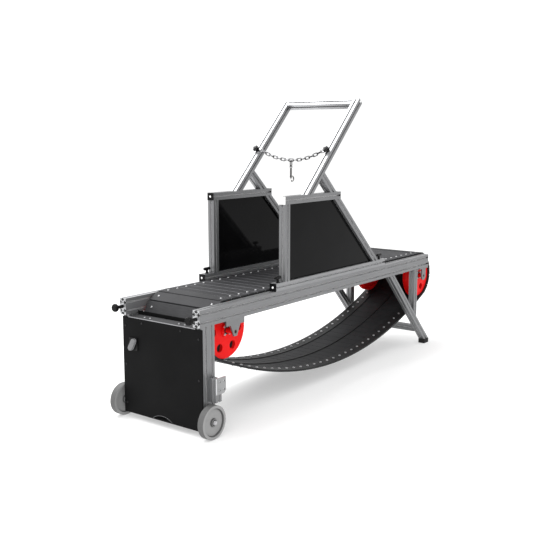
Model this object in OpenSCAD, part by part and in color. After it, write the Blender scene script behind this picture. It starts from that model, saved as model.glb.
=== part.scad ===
// Slat-belt dog treadmill on a frame of T-slot bars.
// X runs along the rails from the panel end to the rear, Z is up from the floor,
// and the side of the frame at low Y is called near, the other far.

/* [T-slot bar] */
// Side of the square bar
bar = 38.1; // [36:0.1:42]
// Width of the slot's mouth
slot_mouth = 8.2; // [7.6:0.1:9]
// Depth of the slot's lips
slot_lip = 3.4; // [2.5:0.1:4]
// Width of the slot behind its lips
slot_room = 20; // [18:0.5:22]
// Depth of the slot from the bar's face
slot_depth = 12.5; // [11:0.5:13.5]
// Diameter of the bore along each cell of the bar
bar_bore = 6.6; // [5:0.1:8]

/* [Frame] */
// Length of the side rails
rail_len = 2156; // [2050:1:2400]
// Width over the outer faces of the rails
frame_w = 490; // [470:1:560]
// Height of the rails' upper face above the floor
rail_top = 572; // [550:1:620]
// Distance of the front posts' front face from the rails' front end
post_x = 20; // [8:1:28]
// Height of the front posts' lower end above the floor
post_z = 32; // [20:1:60]
// Thickness of the front panel
panel_t = 6; // [4:0.5:9]
// Height of the front panel's lower edge above the floor
panel_z = 28; // [15:1:40]
// Gap between the panel's upper edge and the rails
panel_gap = 12; // [10:1:20]
// Width of the hand hole in the panel
grip_w = 118; // [60:1:140]
// Height of the hand hole in the panel
grip_h = 18; // [14:1:32]
// Thickness of the shelf plate behind the panel
shelf_t = 4; // [3:0.5:6]
// Depth of the shelf plate
shelf_d = 62; // [50:1:66]

/* [Latch] */
// Distance of the latch's pivot from the panel's far edge
latch_side = 61; // [54:1:90]
// Drop of the latch's pivot below the panel's upper edge
latch_drop = 139; // [90:1:200]
// Distance from the latch's pivot to its lever's tip
lever_len = 39; // [30:1:48]
// Thickness of the lever
lever_t = 15; // [10:0.5:18]

/* [Rear legs] */
// Distance of the foot's middle past the rails' rear end
foot_out = 4; // [-30:1:40]
// Slope of the rear legs from the floor, in degrees
leg_slope = 45; // [42:0.5:50]
// Height of the rubber feet
foot_h = 26; // [20:1:36]
// Rubber around the leg's end, on each side
foot_rim = 3; // [2:0.5:6]
// Distance of the upright struts' middle from the rails' rear end
strut_back = 161; // [150:1:220]
// Height of the rear tie's middle above the floor
rear_tie_z = 105; // [80:1:150]

/* [Belt] */
// Distance of the front axle from the rails' front end
front_axle_x = 241; // [235:1:260]
// Distance of the rear axle from the rails' rear end
rear_axle_back = 26; // [20:1:40]
// Drop of the axles below the rails' upper face
axle_drop = 135; // [128:1:140]
// Radius of the axles
axle_r = 8; // [6:0.5:9]
// Radius of the pulleys
pulley_r = 133.35; // [128:0.05:134]
// Width of a pulley's rim
pulley_w = 36; // [35:1:42]
// Reach of a pulley's outer face beyond the slats' bolts
pulley_out = 23; // [20:1:23]
// Thickness of a pulley's web, which is flush with its outer face
web_t = 15; // [10:1:20]
// Radius of the pulley's lightening holes
light_r = 20; // [12:0.5:22]
// Radius of the circle that the lightening holes lie on
light_circle = 89; // [80:1:90]
// Number of lightening holes
light_count = 6; // [4:1:7]
// Width of a carrier belt
belt_w = 70; // [60:1:76]
// Thickness of a carrier belt
belt_t = 4; // [3:0.5:6]
// Gap between a slat's end and the rail beside it
slat_side = 6.9; // [5:0.1:12]
// Width of a slat along the belt
slat_w = 61.5; // [50:0.5:62]
// Thickness of a slat
slat_t = 6; // [5:0.5:10]
// Wanted distance from slat to slat
slat_pitch = 63.5; // [63:0.5:70]
// Place of the first slat past the top of the front pulley
slat_start = 5; // [0:1:30]
// Height of the hanging run's lowest point above the floor
hang_z = 94; // [85:1:160]
// Thickness of the legs of the brackets that carry the runners
bracket_t = 4; // [3:0.5:6]
// Number of brackets under each runner
bracket_count = 5; // [3:1:7]

/* [Transport wheels] */
// Radius of a wheel
wheel_r = 76.2; // [70:0.1:80]
// Width of a wheel
wheel_w = 32; // [30:0.5:40]
// Radius of the wheel's axle bolt
wheel_axle_r = 6.5; // [5:0.5:8]
// Length of the spacer between post and wheel
spacer_len = 13; // [10:0.5:18]
// Room between the wheel and the stub bar above it
stub_clear = 5; // [3:0.5:12]
// Height of the stub bar's upper end above the floor
stub_top = 262; // [240:1:300]
// Width of the drilled plate on the stub bar
plate_w = 62; // [58:1:70]
// Height of the drilled plate
plate_h = 74; // [68:1:80]
// Thickness of the drilled plate
plate_t = 5; // [4:0.5:8]
// Radius of the two free holes in the drilled plate
plate_hole_r = 4.5; // [3:0.25:5]

/* [Guards] */
// Distance of the guards' lower bars from the rails' front end
guard_x = 548; // [540:1:640]
// Distance from the lower bar's front end to the guard post
guard_post_dx = 72; // [66:1:90]
// Length of the lower bars behind the guards' diagonals
guard_tail = 78; // [70:1:140]
// Height of the guards above the rails
guard_h = 449; // [400:1:500]
// Length of the guards' top bars
guard_top_len = 491; // [480:1:540]
// Slope of the guards' rear diagonals, in degrees
diag_slope = 42.4; // [41:0.2:46]
// Thickness of the smoked guard panels
guard_panel_t = 5; // [3:0.5:6]
// Depth to which a guard panel enters the slots beside and above it
panel_seat = 8; // [4:0.5:10]
// Thickness of the bars' end caps
cap_t = 4; // [3:0.5:6]

/* [Tether frame] */
// Distance from the guard post's front face to the upright's middle, at its base
upright_dx = 207; // [190:1:225]
// Lean of the uprights above the horizontal, in degrees
upright_lean = 45; // [43:0.5:50]
// Length of the uprights along their middle
upright_len = 665; // [580:1:700]
// Place of the chain's eyes along the uprights
eye_along = 274; // [240:1:360]
// Sag of the chain
chain_sag = 47; // [40:1:80]
// Diameter of the chain's wire
chain_d = 5; // [3.5:0.1:5.2]
// Inner width of a chain link
link_w = 9; // [8.4:0.1:11]
// Number of links on each side of the middle one
half_links = 7; // [5:2:7]
// Radius of the snap hook's loop
hook_r = 13; // [9:0.5:14]
// Thickness of the snap hook's loop
hook_wire = 7; // [4:0.5:8]
// Length of the snap hook's barrel
barrel_len = 50; // [28:1:56]

/* [Knobs] */
// Radius of the tension knobs
knob_r = 17.5; // [14:0.5:19]
// Distance of the tension knob's face from the rail's end
knob_out = 56; // [50:1:70]
// Radius of a tension knob's stud
tension_r = 5; // [4:0.5:6]
// Length of a T-handle's grip
grip_len = 50; // [40:1:60]
// Height of a T-handle's grip above the bar
grip_rise = 24; // [20:1:32]
// Radius of the studs of the T-handles and star knobs
stud_r = 3.6; // [3:0.1:3.7]
// Radius over the lobes of a star knob
star_r = 17; // [14:0.5:18]

/* [Fits] */
// Gap between pieces that slide or turn on each other
gap = 0.3; // [0.2:0.05:0.4]
// Radial clearance of the running fits
fit = 0.05; // [0.02:0.01:0.08]

/* [Hidden] */
$fn = 48;
cut = 1;
near = -1;
far = 1;
sides = [near, far];
alu = [0.66, 0.67, 0.69];
steel = [0.8, 0.8, 0.82];
dark = [0.1, 0.1, 0.11];

// Bars and the bolts in their slots
lip_room = 2.5;
half_w = frame_w / 2;
rail_y = half_w - bar / 2;
rail_in = half_w - bar;
rail_mid = rail_top - bar;
rail_base = rail_top - 2 * bar;
nut_w = slot_room - 6;
nut_h = (slot_depth - slot_lip) / 2;
nut_len = 24;
nut_drop = slot_lip + gap + nut_h;
bolt_play = 0.6;
shank_r = slot_mouth / 2 - bolt_play;
cap_r = 6;
cap_h = 4;
cap_taper = 1.2;

// Front end
panel_x = post_x - panel_t;
panel_top = rail_base - panel_gap;
panel_edge = 1;
tie_x = post_x + bar / 2;
tie_z = panel_top - bar / 2;
grip_z = panel_z + 5;
grip_r = (grip_w * grip_w / 4 + grip_h * grip_h) / (2 * grip_h);
screw_r = 5;
screw_h = 3;
post_screw_z = [tie_z - 22, (tie_z + post_z) / 2 + 10, post_z + 42];
tie_screw_y = rail_in - 87;
shelf_side = 1;
shelf_bolt_y = [for (s = sides, d = [82, 117]) s * (rail_in - d)];

// Latch
latch_y = half_w - panel_edge - latch_side;
latch_z = panel_top - latch_drop;
latch_tilt = 29;
latch_plate = [60, 54];
latch_plate_t = 5;
latch_floor = 1.5;
lever_wide = 13;
lever_tip = 12;
lever_crown = 2;
lever_step = 4;
lever_pin_r = 7;

// Axles, hangers and pulleys
axle_z = rail_top - axle_drop;
rear_axle_x = rail_len - rear_axle_back;
belt_r = pulley_r + gap;
slat_len = 2 * (rail_in - slat_side);
bolt_y = slat_len / 2 - belt_w / 2;
pulley_edge = bolt_y + pulley_out;
pulley_chamfer = 2;
groove_w = 20;
groove_depth = 9;
rim_wall = 12;
hub_r = 20;
flange_r = 33;
flange_t = 6;
collar_r = 13;
hub_bolt_r = 5;
hub_bolt_h = 4.5;
hub_bolt_circle = 24;
axle_recess = 2;
bush_wall = 3;
bush_r = axle_r + bush_wall;
bush_lip = 2.5;
hanger_t = 8;
hanger_wide = 128;
hanger_skirt = 26;
hanger_waist = 34;
hanger_tip = 11;
hanger_below = 20;
hanger_bolt_dx = 46;
front_hanger_y = half_w - hanger_t / 2;
rear_hanger_y = rail_y;
rear_plate_len = 111;
rear_tongue_r = 27;
front_bolt_x = [for (s = sides) front_axle_x + s * hanger_bolt_dx];
rear_bolt_x = [for (d = [13, 42]) rail_len - rear_plate_len + d];

// Hyperbolic functions for the hanging run and the chain
function cosh(x) = (exp(x) + exp(-x)) / 2;
function sinh(x) = (exp(x) - exp(-x)) / 2;
function asinh(x) = ln(x + sqrt(x * x + 1));

// The angle before its lowest point at which the belt leaves a pulley, so that the
// hanging curve is tangent to both pulleys and reaches down to hang_z
belt_mid_x = (front_axle_x + rear_axle_x) / 2;
function hang_half(b) = belt_mid_x - front_axle_x + belt_r * sin(b);
function hang_scale(b) = hang_half(b) / asinh(tan(b));
function hang_error(b) =
    hang_z + hang_scale(b) * (cosh(hang_half(b) / hang_scale(b)) - 1) - axle_z + belt_r * cos(b);
function leave_angle(low, high, steps) =
    let (mid = (low + high) / 2)
    steps == 0 ? mid
    : hang_error(mid) > 0 ? leave_angle(low, mid, steps - 1)
    : leave_angle(mid, high, steps - 1);
leave = leave_angle(1, 60, 40);
hang_a = hang_scale(leave);

// Lengths of the belt's stretches, along the middle of the carrier belts
mid_r = belt_r + belt_t / 2;
wrap_len = mid_r * (180 - leave) * PI / 180;
hang_len = 2 * hang_a * sinh(hang_half(leave) / hang_a);
top_len = rear_axle_x - front_axle_x;
belt_len = top_len + 2 * wrap_len + hang_len;
rear_start = wrap_len + hang_len;
deck_start = rear_start + wrap_len;
slat_count = round(belt_len / slat_pitch);
pitch = belt_len / slat_count;

// Place [x, z] and outward direction of the belt's inner face after a length s,
// counted from the top of the front pulley forwards and down
function belt_pose(s) =
    s < wrap_len ?
        let (t = 90 + s / mid_r * 180 / PI)
        [front_axle_x + belt_r * cos(t), axle_z + belt_r * sin(t), t]
    : s < rear_start ?
        let (u = s - wrap_len - hang_len / 2, w = asinh(u / hang_a))
        [belt_mid_x + hang_a * w, hang_z + hang_a * (cosh(w) - 1), atan(u / hang_a) - 90]
    : s < deck_start ?
        let (t = leave - 90 + (s - rear_start) / mid_r * 180 / PI)
        [rear_axle_x + belt_r * cos(t), axle_z + belt_r * sin(t), t]
    : [rear_axle_x - (s - deck_start), axle_z + belt_r, 90];

function off_belt(p, d) = [p[0] + d * cos(p[2]), p[1] + d * sin(p[2])];

wrap_steps = 36;
hang_steps = 60;
belt_stations = concat(
    [for (i = [0 : wrap_steps]) i * wrap_len / wrap_steps],
    [for (i = [1 : hang_steps]) wrap_len + i * hang_len / hang_steps],
    [for (i = [1 : wrap_steps]) rear_start + i * wrap_len / wrap_steps]);

// Slats and their bolts
slats = [for (i = [0 : slat_count - 1]) slat_start + i * pitch];
front_run = [for (s = slats) if (s < wrap_len) s];
hang_run = [for (s = slats) if (s >= wrap_len && s < rear_start) s];
rear_run = [for (s = slats) if (s >= rear_start && s < deck_start) s];
deck_run = [for (s = slats) if (s >= deck_start) s];
slat_lift = 0.1;
slat_foot = belt_t + slat_lift;
slat_chamfer = 1.5;
bolt_r = 3;
bolt_room = 0.2;
head_r = 5.25;
head_h = 3.3;
head_rim = 1.1;
head_top_r = 3.2;
nut_r = 6.5;
nut_t = 4.5;
nut_room = gap + belt_r - sqrt(belt_r * belt_r - nut_r * nut_r);
bolt_tip = 1;
rib_w = 8;

// Runners under the deck, on angle brackets that are bolted to the rails' upper slots
upper_slot_z = rail_top - bar / 2;
bracket_len = 50;
bracket_inset = 50;
bracket_rise = 12;
bracket_z = upper_slot_z - cap_r - 5;
runner_top = axle_z + belt_r - gap;
runner_t = runner_top - bracket_z;
runner_in = bolt_y - 30;
runner_out = rail_in - bracket_t - cap_h - 1;
runner_groove = 9;
runner_end = 24;
runner_x0 = front_axle_x + pulley_r + runner_end;
runner_x1 = rear_axle_x - pulley_r - runner_end;
bracket_x = [for (i = [0 : bracket_count - 1])
    runner_x0 + bracket_inset + (runner_x1 - runner_x0 - 2 * bracket_inset) * i / (bracket_count - 1)];
deck_tie_inset = 60;
deck_tie_x = [runner_x0 + deck_tie_inset, belt_mid_x, runner_x1 - deck_tie_inset];

// Rear legs
foot_x = rail_len + foot_out;
strut_x = rail_len - strut_back;
leg_cut = bar / sin(leg_slope);
foot_corner = 6;

// Transport wheels
wheel_x = post_x + bar / 2;
wheel_y = half_w + spacer_len + gap;
wheel_round = 2;
wheel_rim = 15;
wheel_hub = 17;
wheel_dish = 8;
wheel_bevel = 2;
axle_head_r = 10;
axle_head = 7;
spacer_r = 15;
stub_x = post_x + 3 * bar / 2;
stub_y = half_w + bar / 2;
stub_base = 2 * wheel_r + stub_clear;
plate_x = stub_x - bar / 2;
plate_y = half_w + bar;
plate_top = stub_top + 6;
plate_chamfer = 12;
plate_hole_x = plate_x + plate_w - 13;
plate_hole_z = [for (s = sides) plate_top - plate_h / 2 + s * bar / 2];

// Guards
guard_z = rail_top + gap;
guard_bar_top = guard_z + bar;
guard_top = rail_top + guard_h;
guard_under = guard_top - bar;
guard_post_x = guard_x + guard_post_dx;
diag_cut = bar / sin(diag_slope);
diag_x = guard_post_x + guard_top_len - diag_cut / 2;
diag_run = (guard_under - guard_bar_top) / tan(diag_slope);
diag_foot_x = diag_x + diag_run;
guard_end_x = diag_foot_x + diag_cut / 2 + guard_tail;
guard_len = guard_end_x - guard_x;
handle_front_x = guard_x + guard_post_dx / 2;
handle_rear_x = guard_end_x - guard_tail / 2;
handle_xs = [handle_front_x, handle_rear_x];
cap_corner = 2;

// Tether frame
upright_x = guard_post_x + upright_dx;
upright_cut = bar / sin(upright_lean);

// A point [x, z] along the upright's middle and a distance out of its front face
function on_upright(along, out) =
    [upright_x + along * cos(upright_lean) - (bar / 2 + out) * sin(upright_lean),
     guard_top + along * sin(upright_lean) + (bar / 2 + out) * cos(upright_lean)];

// Chain, held at each end by a ring on an eye plate: the end link's wire lies in the ring,
// ring_slack from the ring's middle
eye_t = 4;
eye_r = 15;
eye_tab = 8;
ring_d = 5;
ring_r = 8;
link_gap = 0.4;
link_step = 0.01;
ring_slack = ring_r - ring_d / 2 - chain_d / 2 - link_gap / 2;
chain_y = rail_in - ring_r - ring_d - ring_slack;
function chain_error(a) = a * (cosh(chain_y / a) - 1) - chain_sag;
function chain_scale(low, high, steps) =
    let (mid = (low + high) / 2)
    steps == 0 ? mid
    : chain_error(mid) > 0 ? chain_scale(mid, high, steps - 1)
    : chain_scale(low, mid, steps - 1);
chain_a = chain_scale(chain_y / 3, chain_y * 20, 50);
chain_half = chain_a * sinh(chain_y / chain_a);
chain_slope = atan(chain_half / chain_a);
link_pitch = (chain_half - link_gap / 2 - chain_d / 2) / (half_links + 0.5);
link_in = link_pitch + link_gap;
eye_point = on_upright(eye_along, gap + eye_t / 2);
ring_y = chain_y + ring_slack * cos(chain_slope);
chain_x = eye_point[0];
chain_mid_z = eye_point[1] - ring_slack * sin(chain_slope) - chain_sag;

// The drop link hangs on the lower wire of the chain's middle link
drop_top_z = chain_mid_z - (link_w + chain_d) / 2 + chain_d + gap;
drop_z = drop_top_z - (link_in + chain_d) / 2;

// Snap hook: its eye hangs in the drop link, and its loop lies beside the barrel so that the
// sliding bolt meets the loop's tip
hook_axis_z = drop_top_z - link_in - chain_d;
hook_eye_d = 4;
hook_eye_r = chain_d / 2 + hook_eye_d / 2 + 2.2;
hook_eye_z = hook_axis_z + chain_d / 2 + gap + hook_eye_d / 2 - hook_eye_r;
barrel_r = 5.5;
barrel_top = hook_eye_z - hook_eye_r - hook_eye_d / 2 + 1;
barrel_base = barrel_top - barrel_len;
hook_from = 60;
hook_to = 325;
hook_loop_x = -hook_r * cos(hook_to) - 0.5;
hook_loop_z = barrel_base - 5;
hook_tip_z = hook_loop_z + hook_r * sin(hook_to) + hook_wire / 2;
gate_r = 2.2;
gate_travel = 8;
gate_inside = 12;
thumb_r = 1.7;
thumb_out = 9;
thumb_rise = 6;

// T-handles and knobs
t_grip_r = 8;
t_foot_r = 9;
t_foot_h = 3;
t_neck_r = 6.5;
t_neck_h = 6;
knob_head = 19;
knob_edge = 3;
knob_neck_r = 8;
tension_depth = 55;
star_lobe_r = 6;
star_lobes = 5;
star_neck_r = 8;
star_neck = 6;
star_h = 13;
star_boss = 1;

// The whole part is centred on the origin along X, between the tension knobs' faces and the
// rearmost corner of a slat or of its bolt's head
function rear_x(s, along, out) =
    let (p = belt_pose(s)) off_belt(p, slat_foot + out)[0] + along * abs(sin(p[2]));
rear_reach = max([for (s = rear_run) max(
    rear_x(s, slat_w / 2, slat_t - slat_chamfer), rear_x(s, slat_w / 2 - slat_chamfer, slat_t),
    rear_x(s, head_r, slat_t + head_rim), rear_x(s, head_top_r, slat_t + head_h))]);
mid_x = (rear_reach - knob_out) / 2;

// Puts a piece that is drawn from the rails' front end into the part's frame
module placed() {
    translate([-mid_x, 0, 0]) children();
}

// One T-slot, cut into a face at y = 0 with the bar below it
module slot_outline() {
    m = slot_mouth / 2;
    r = slot_room / 2;
    polygon([
        [-m, cut], [-m, -slot_lip], [-r, -slot_lip], [-r, -slot_lip - lip_room], [-m, -slot_depth],
        [m, -slot_depth], [r, -slot_lip - lip_room], [r, -slot_lip], [m, -slot_lip], [m, cut]]);
}

// Section of a T-slot bar of nx by ny cells
module bar_section(nx, ny) {
    difference() {
        square([nx * bar, ny * bar], center = true);
        for (i = [0 : nx - 1], m = [0, 1])
            mirror([0, m]) translate([(i - (nx - 1) / 2) * bar, ny * bar / 2]) slot_outline();
        for (j = [0 : ny - 1], m = [0, 1])
            mirror([m, 0]) translate([nx * bar / 2, (j - (ny - 1) / 2) * bar]) rotate(-90) slot_outline();
        for (i = [0 : nx - 1], j = [0 : ny - 1])
            translate([(i - (nx - 1) / 2) * bar, (j - (ny - 1) / 2) * bar]) circle(d = bar_bore);
    }
}

module bar_along_x(len, ny = 1) {
    rotate([90, 0, 90]) linear_extrude(len) bar_section(1, ny);
}

module bar_along_y(len) {
    rotate([90, 0, 0]) linear_extrude(len, center = true) bar_section(1, 1);
}

module bar_along_z(len, nx = 1) {
    linear_extrude(len) bar_section(nx, 1);
}

// Bar that rises towards low X, its middle through the origin, with level cuts at the
// origin and at the height rise
module sloped_bar(slope, rise) {
    over = bar / tan(slope) + bar;
    reach = rise / sin(slope) + 2 * over;
    intersection() {
        rotate([0, slope - 90, 0]) translate([0, 0, -over]) bar_along_z(reach);
        translate([-reach, -bar, 0]) cube([2 * reach, 2 * bar, rise]);
    }
}

// Plate with round corners, its lower face at the origin
module round_plate(x, y, t, r) {
    linear_extrude(t) {
        square([x - 2 * r, y], center = true);
        square([x, y - 2 * r], center = true);
        for (i = sides, j = sides)
            translate([i * (x / 2 - r), j * (y / 2 - r)]) circle(r);
    }
}

// Bolt along +Z through a plate of thickness t, with its nut behind the lips of a slot that
// runs along X. Its head lies below z = 0, on the plate's free face.
module slot_bolt(t, r = cap_r, h = cap_h) {
    translate([0, 0, -h]) cylinder(r1 = r - cap_taper, r2 = r, h = h);
    cylinder(r = shank_r, h = t + nut_drop);
    translate([-nut_len / 4, -nut_w / 2, t + slot_lip + gap]) cube([nut_len / 2, nut_w, nut_h]);
}

module bolt_hole(t) {
    translate([0, 0, -cut]) cylinder(r = slot_mouth / 2, h = t + 2 * cut);
}

// Nut that slides in a slot along X, bored for a stud
module slide_nut() {
    difference() {
        translate([-nut_len / 2, -nut_w / 2, 0]) cube([nut_len, nut_w, nut_h]);
        translate([0, 0, -cut]) cylinder(r = stud_r + fit, h = nut_h + 2 * cut);
    }
}

// Frame

module rail(side) {
    color(alu) placed() translate([0, side * rail_y, rail_mid]) difference() {
        bar_along_x(rail_len, 2);
        translate([-cut, 0, 0]) rotate([0, 90, 0]) cylinder(r = tension_r + fit, h = tension_depth + 5);
    }
}

module rail_near() { rail(near); }

module rail_far() { rail(far); }

module front_posts() {
    color(alu) placed() for (s = sides)
        translate([post_x + bar, s * rail_y, post_z]) bar_along_z(rail_base - post_z, 2);
}

// The upper tie carries the panel and the shelf, and the lower one stands behind the hand hole
module front_ties() {
    color(alu) placed() {
        translate([tie_x, 0, tie_z]) bar_along_y(2 * rail_in);
        translate([tie_x + bar, 0, post_z + bar / 2]) bar_along_y(2 * rail_in);
    }
}

// Runs its children at each screw of the panel, with +Z of the child into the panel
module at_panel_screws() {
    for (s = sides, z = post_screw_z) translate([panel_x, s * rail_y, z]) rotate([0, 90, 0]) children();
    for (s = sides) translate([panel_x, s * tie_screw_y, tie_z]) rotate([0, 90, 0]) rotate(90) children();
}

module front_panel() {
    width = 2 * (half_w - panel_edge);
    color(dark) placed() difference() {
        translate([panel_x, -width / 2, panel_z]) cube([panel_t, width, panel_top - panel_z]);
        at_panel_screws() bolt_hole(panel_t);
        translate([panel_x - cut, 0, grip_z]) rotate([90, 0, 90])
        linear_extrude(panel_t + 2 * cut) intersection() {
            translate([0, grip_h - grip_r]) circle(grip_r);
            translate([-grip_w / 2, 0]) square([grip_w, grip_h]);
        }
    }
}

module panel_screws() {
    color(dark) placed() at_panel_screws() slot_bolt(panel_t, screw_r, screw_h);
}

// Runs its children at each shelf bolt, with +Z of the child down into the tie
module at_shelf_bolts() {
    for (y = shelf_bolt_y) translate([tie_x, y, panel_top + shelf_t]) rotate([180, 0, 90]) children();
}

module front_shelf() {
    color(alu) placed() difference() {
        translate([panel_x, shelf_side - rail_in, panel_top])
            cube([shelf_d, 2 * (rail_in - shelf_side), shelf_t]);
        at_shelf_bolts() bolt_hole(shelf_t);
    }
}

// Puts a child on the panel's face at the latch's pivot, +X up the lever and +Z out of the panel
module at_latch(tilt) {
    translate([panel_x, latch_y, latch_z]) rotate([0, -90, 0]) rotate(tilt) children();
}

module latch_base() {
    color(dark) placed() difference() {
        at_latch(0) translate([lever_len / 2 * cos(latch_tilt), -lever_len / 2 * sin(latch_tilt), 0])
            round_plate(latch_plate[0], latch_plate[1], latch_plate_t, lever_step);
        at_latch(0) translate([0, 0, latch_floor]) cylinder(r = lever_pin_r + fit, h = latch_plate_t);
    }
}

// Outline of the lever, drawn in by the width e
module lever_outline(e) {
    wide = lever_wide - e;
    tip = lever_tip - e;
    lean = asin((wide - tip) / lever_len);
    circle(wide);
    translate([lever_len, 0]) circle(tip);
    polygon([for (p = [[0, wide, 1], [lever_len, tip, 1], [lever_len, tip, -1], [0, wide, -1]])
        [p[0] + p[1] * sin(lean), p[2] * p[1] * cos(lean)]]);
}

module latch_lever() {
    lift = latch_plate_t + gap;
    color([0.62, 0.62, 0.63]) placed() at_latch(-latch_tilt) {
        translate([0, 0, latch_floor + gap]) cylinder(r = lever_pin_r, h = lift);
        translate([0, 0, lift]) linear_extrude(lever_t - lever_step) lever_outline(0);
        translate([0, 0, lift]) linear_extrude(lever_t) lever_outline(lever_crown);
    }
}

module deck_ties() {
    color(alu) placed() for (x = deck_tie_x) translate([x, 0, rail_base + bar / 2]) bar_along_y(2 * rail_in);
}

module deck_runners() {
    len = runner_x1 - runner_x0;
    color([0.92, 0.92, 0.9]) placed() for (m = [0, 1]) mirror([0, m, 0]) difference() {
        translate([runner_x0, runner_in, bracket_z]) cube([len, runner_out - runner_in, runner_t]);
        translate([runner_x0 - cut, bolt_y - groove_w / 2, runner_top - runner_groove])
            cube([len + 2 * cut, groove_w, runner_groove + cut]);
    }
}

// Runs its children at each bracket bolt, with +Z of the child into the rail
module at_bracket_bolts() {
    for (s = sides, x = bracket_x)
        translate([x, s * (rail_in - bracket_t), upper_slot_z]) rotate([-s * 90, 0, 0]) children();
}

module runner_brackets() {
    base = bracket_z - bracket_t;
    top = upper_slot_z + bracket_rise;
    color(alu) placed() difference() {
        for (x = bracket_x, m = [0, 1]) mirror([0, m, 0]) translate([x - bracket_len / 2, 0, base]) {
            translate([0, runner_in, 0]) cube([bracket_len, rail_in - runner_in, bracket_t]);
            translate([0, rail_in - bracket_t, 0]) cube([bracket_len, bracket_t, top - base]);
        }
        at_bracket_bolts() bolt_hole(bracket_t);
    }
}

// Runs its children at each bolt of a hanger, with +Z of the child up into the rail
module at_hanger_bolts(xs) {
    for (s = sides, x = xs) translate([x, s * rail_y, rail_base - hanger_t]) children();
}

module axle_holes(x) {
    translate([x, 0, axle_z]) rotate([90, 0, 0])
        cylinder(r = bush_r + fit, h = frame_w + 2 * cut, center = true);
}

module front_hangers() {
    skirt = rail_base - hanger_skirt;
    tip = axle_z - hanger_below;
    w = hanger_wide / 2;
    color(alu) placed() difference() {
        for (s = sides) {
            translate([front_axle_x, s * front_hanger_y, 0]) rotate([90, 0, 0])
            linear_extrude(hanger_t, center = true) polygon([
                [-w, rail_base], [-w, skirt], [-hanger_waist, skirt], [-hanger_tip, tip], [hanger_tip, tip],
                [hanger_waist, skirt], [w, skirt], [w, rail_base]]);
            translate([front_axle_x - w, s * rail_y - bar / 2, rail_base - hanger_t])
                cube([hanger_wide, bar, hanger_t]);
        }
        axle_holes(front_axle_x);
        at_hanger_bolts(front_bolt_x) bolt_hole(hanger_t);
    }
}

module rear_hangers() {
    rear = min(rear_tongue_r, rear_axle_back);
    color(alu) placed() difference() {
        for (s = sides) {
            translate([rear_axle_x, s * rear_hanger_y, axle_z]) rotate([90, 0, 0])
            linear_extrude(hanger_t, center = true) {
                circle(rear_tongue_r);
                translate([-rear_tongue_r, 0]) square([rear_tongue_r + rear, rail_base - axle_z]);
            }
            translate([rail_len - rear_plate_len, s * rail_y - bar / 2, rail_base - hanger_t])
                cube([rear_plate_len, bar, hanger_t]);
        }
        axle_holes(rear_axle_x);
        at_hanger_bolts(rear_bolt_x) bolt_hole(hanger_t);
    }
}

// Runs its children at each bolt of the drilled plates, with +Z of the child into the stub bar
module at_stub_bolts() {
    for (s = sides, z = plate_hole_z)
        translate([stub_x, s * (plate_y + plate_t), z]) rotate([s * 90, 0, 0]) rotate(90) children();
}

module frame_bolts() {
    color(steel) placed() {
        at_shelf_bolts() slot_bolt(shelf_t);
        at_bracket_bolts() slot_bolt(bracket_t);
        at_hanger_bolts(concat(front_bolt_x, rear_bolt_x)) slot_bolt(hanger_t);
        at_stub_bolts() slot_bolt(plate_t);
    }
}

// Bush of an axle, with its lip on the hanger's inner face
module axle_bush(x, side, hanger_y) {
    len = hanger_t + bush_lip;
    translate([x, side * (hanger_y - hanger_t / 2 - bush_lip), axle_z]) rotate([-side * 90, 0, 0])
    difference() {
        union() {
            cylinder(r = bush_r + bush_wall, h = bush_lip);
            cylinder(r = bush_r, h = len);
        }
        translate([0, 0, -cut]) cylinder(r = axle_r + fit, h = len + 2 * cut);
    }
}

module axle_bushes() {
    color([0.75, 0.6, 0.35]) placed() for (s = sides) {
        axle_bush(front_axle_x, s, front_hanger_y);
        axle_bush(rear_axle_x, s, rear_hanger_y);
    }
}

module rear_legs() {
    color(alu) placed() for (s = sides)
        translate([foot_x, s * rail_y, foot_h]) sloped_bar(leg_slope, rail_base - foot_h);
}

// Struts stand on the upper faces of the legs
module rear_struts() {
    face_x = foot_x + leg_cut / 2;
    low = foot_h + (face_x - strut_x - bar) * tan(leg_slope);
    color(alu) placed() for (s = sides) difference() {
        translate([strut_x, s * rail_y, low]) bar_along_z(rail_base - low);
        translate([face_x, s * rail_y, foot_h]) rotate([0, leg_slope - 90, 0])
            translate([-3 * bar, -bar, -bar]) cube([3 * bar, 2 * bar, rail_top]);
    }
}

module rear_tie() {
    x = foot_x - (rear_tie_z - foot_h) / tan(leg_slope);
    color(alu) placed() translate([x, 0, rear_tie_z]) bar_along_y(2 * rail_in);
}

module rear_feet() {
    color(dark) placed() for (s = sides) translate([foot_x, s * rail_y, 0])
        round_plate(leg_cut + 2 * foot_rim, bar + 2 * foot_rim, foot_h, foot_corner);
}

// Transport wheels

module wheel_stubs() {
    color(alu) placed() for (s = sides)
        translate([stub_x, s * stub_y, stub_base]) bar_along_z(stub_top - stub_base);
}

module stub_plates() {
    color(alu) placed() difference() {
        for (s = sides)
            translate([plate_x, s * (plate_y + plate_t / 2), plate_top - plate_h]) rotate([90, 0, 0])
            linear_extrude(plate_t, center = true) polygon([
                [0, 0], [plate_w - plate_chamfer, 0], [plate_w, plate_chamfer], [plate_w, plate_h],
                [0, plate_h]]);
        at_stub_bolts() bolt_hole(plate_t);
        for (s = sides, z = plate_hole_z) translate([plate_hole_x, s * plate_y, z]) rotate([-s * 90, 0, 0])
            translate([0, 0, -cut]) cylinder(r = plate_hole_r, h = plate_t + 2 * cut);
    }
}

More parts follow.
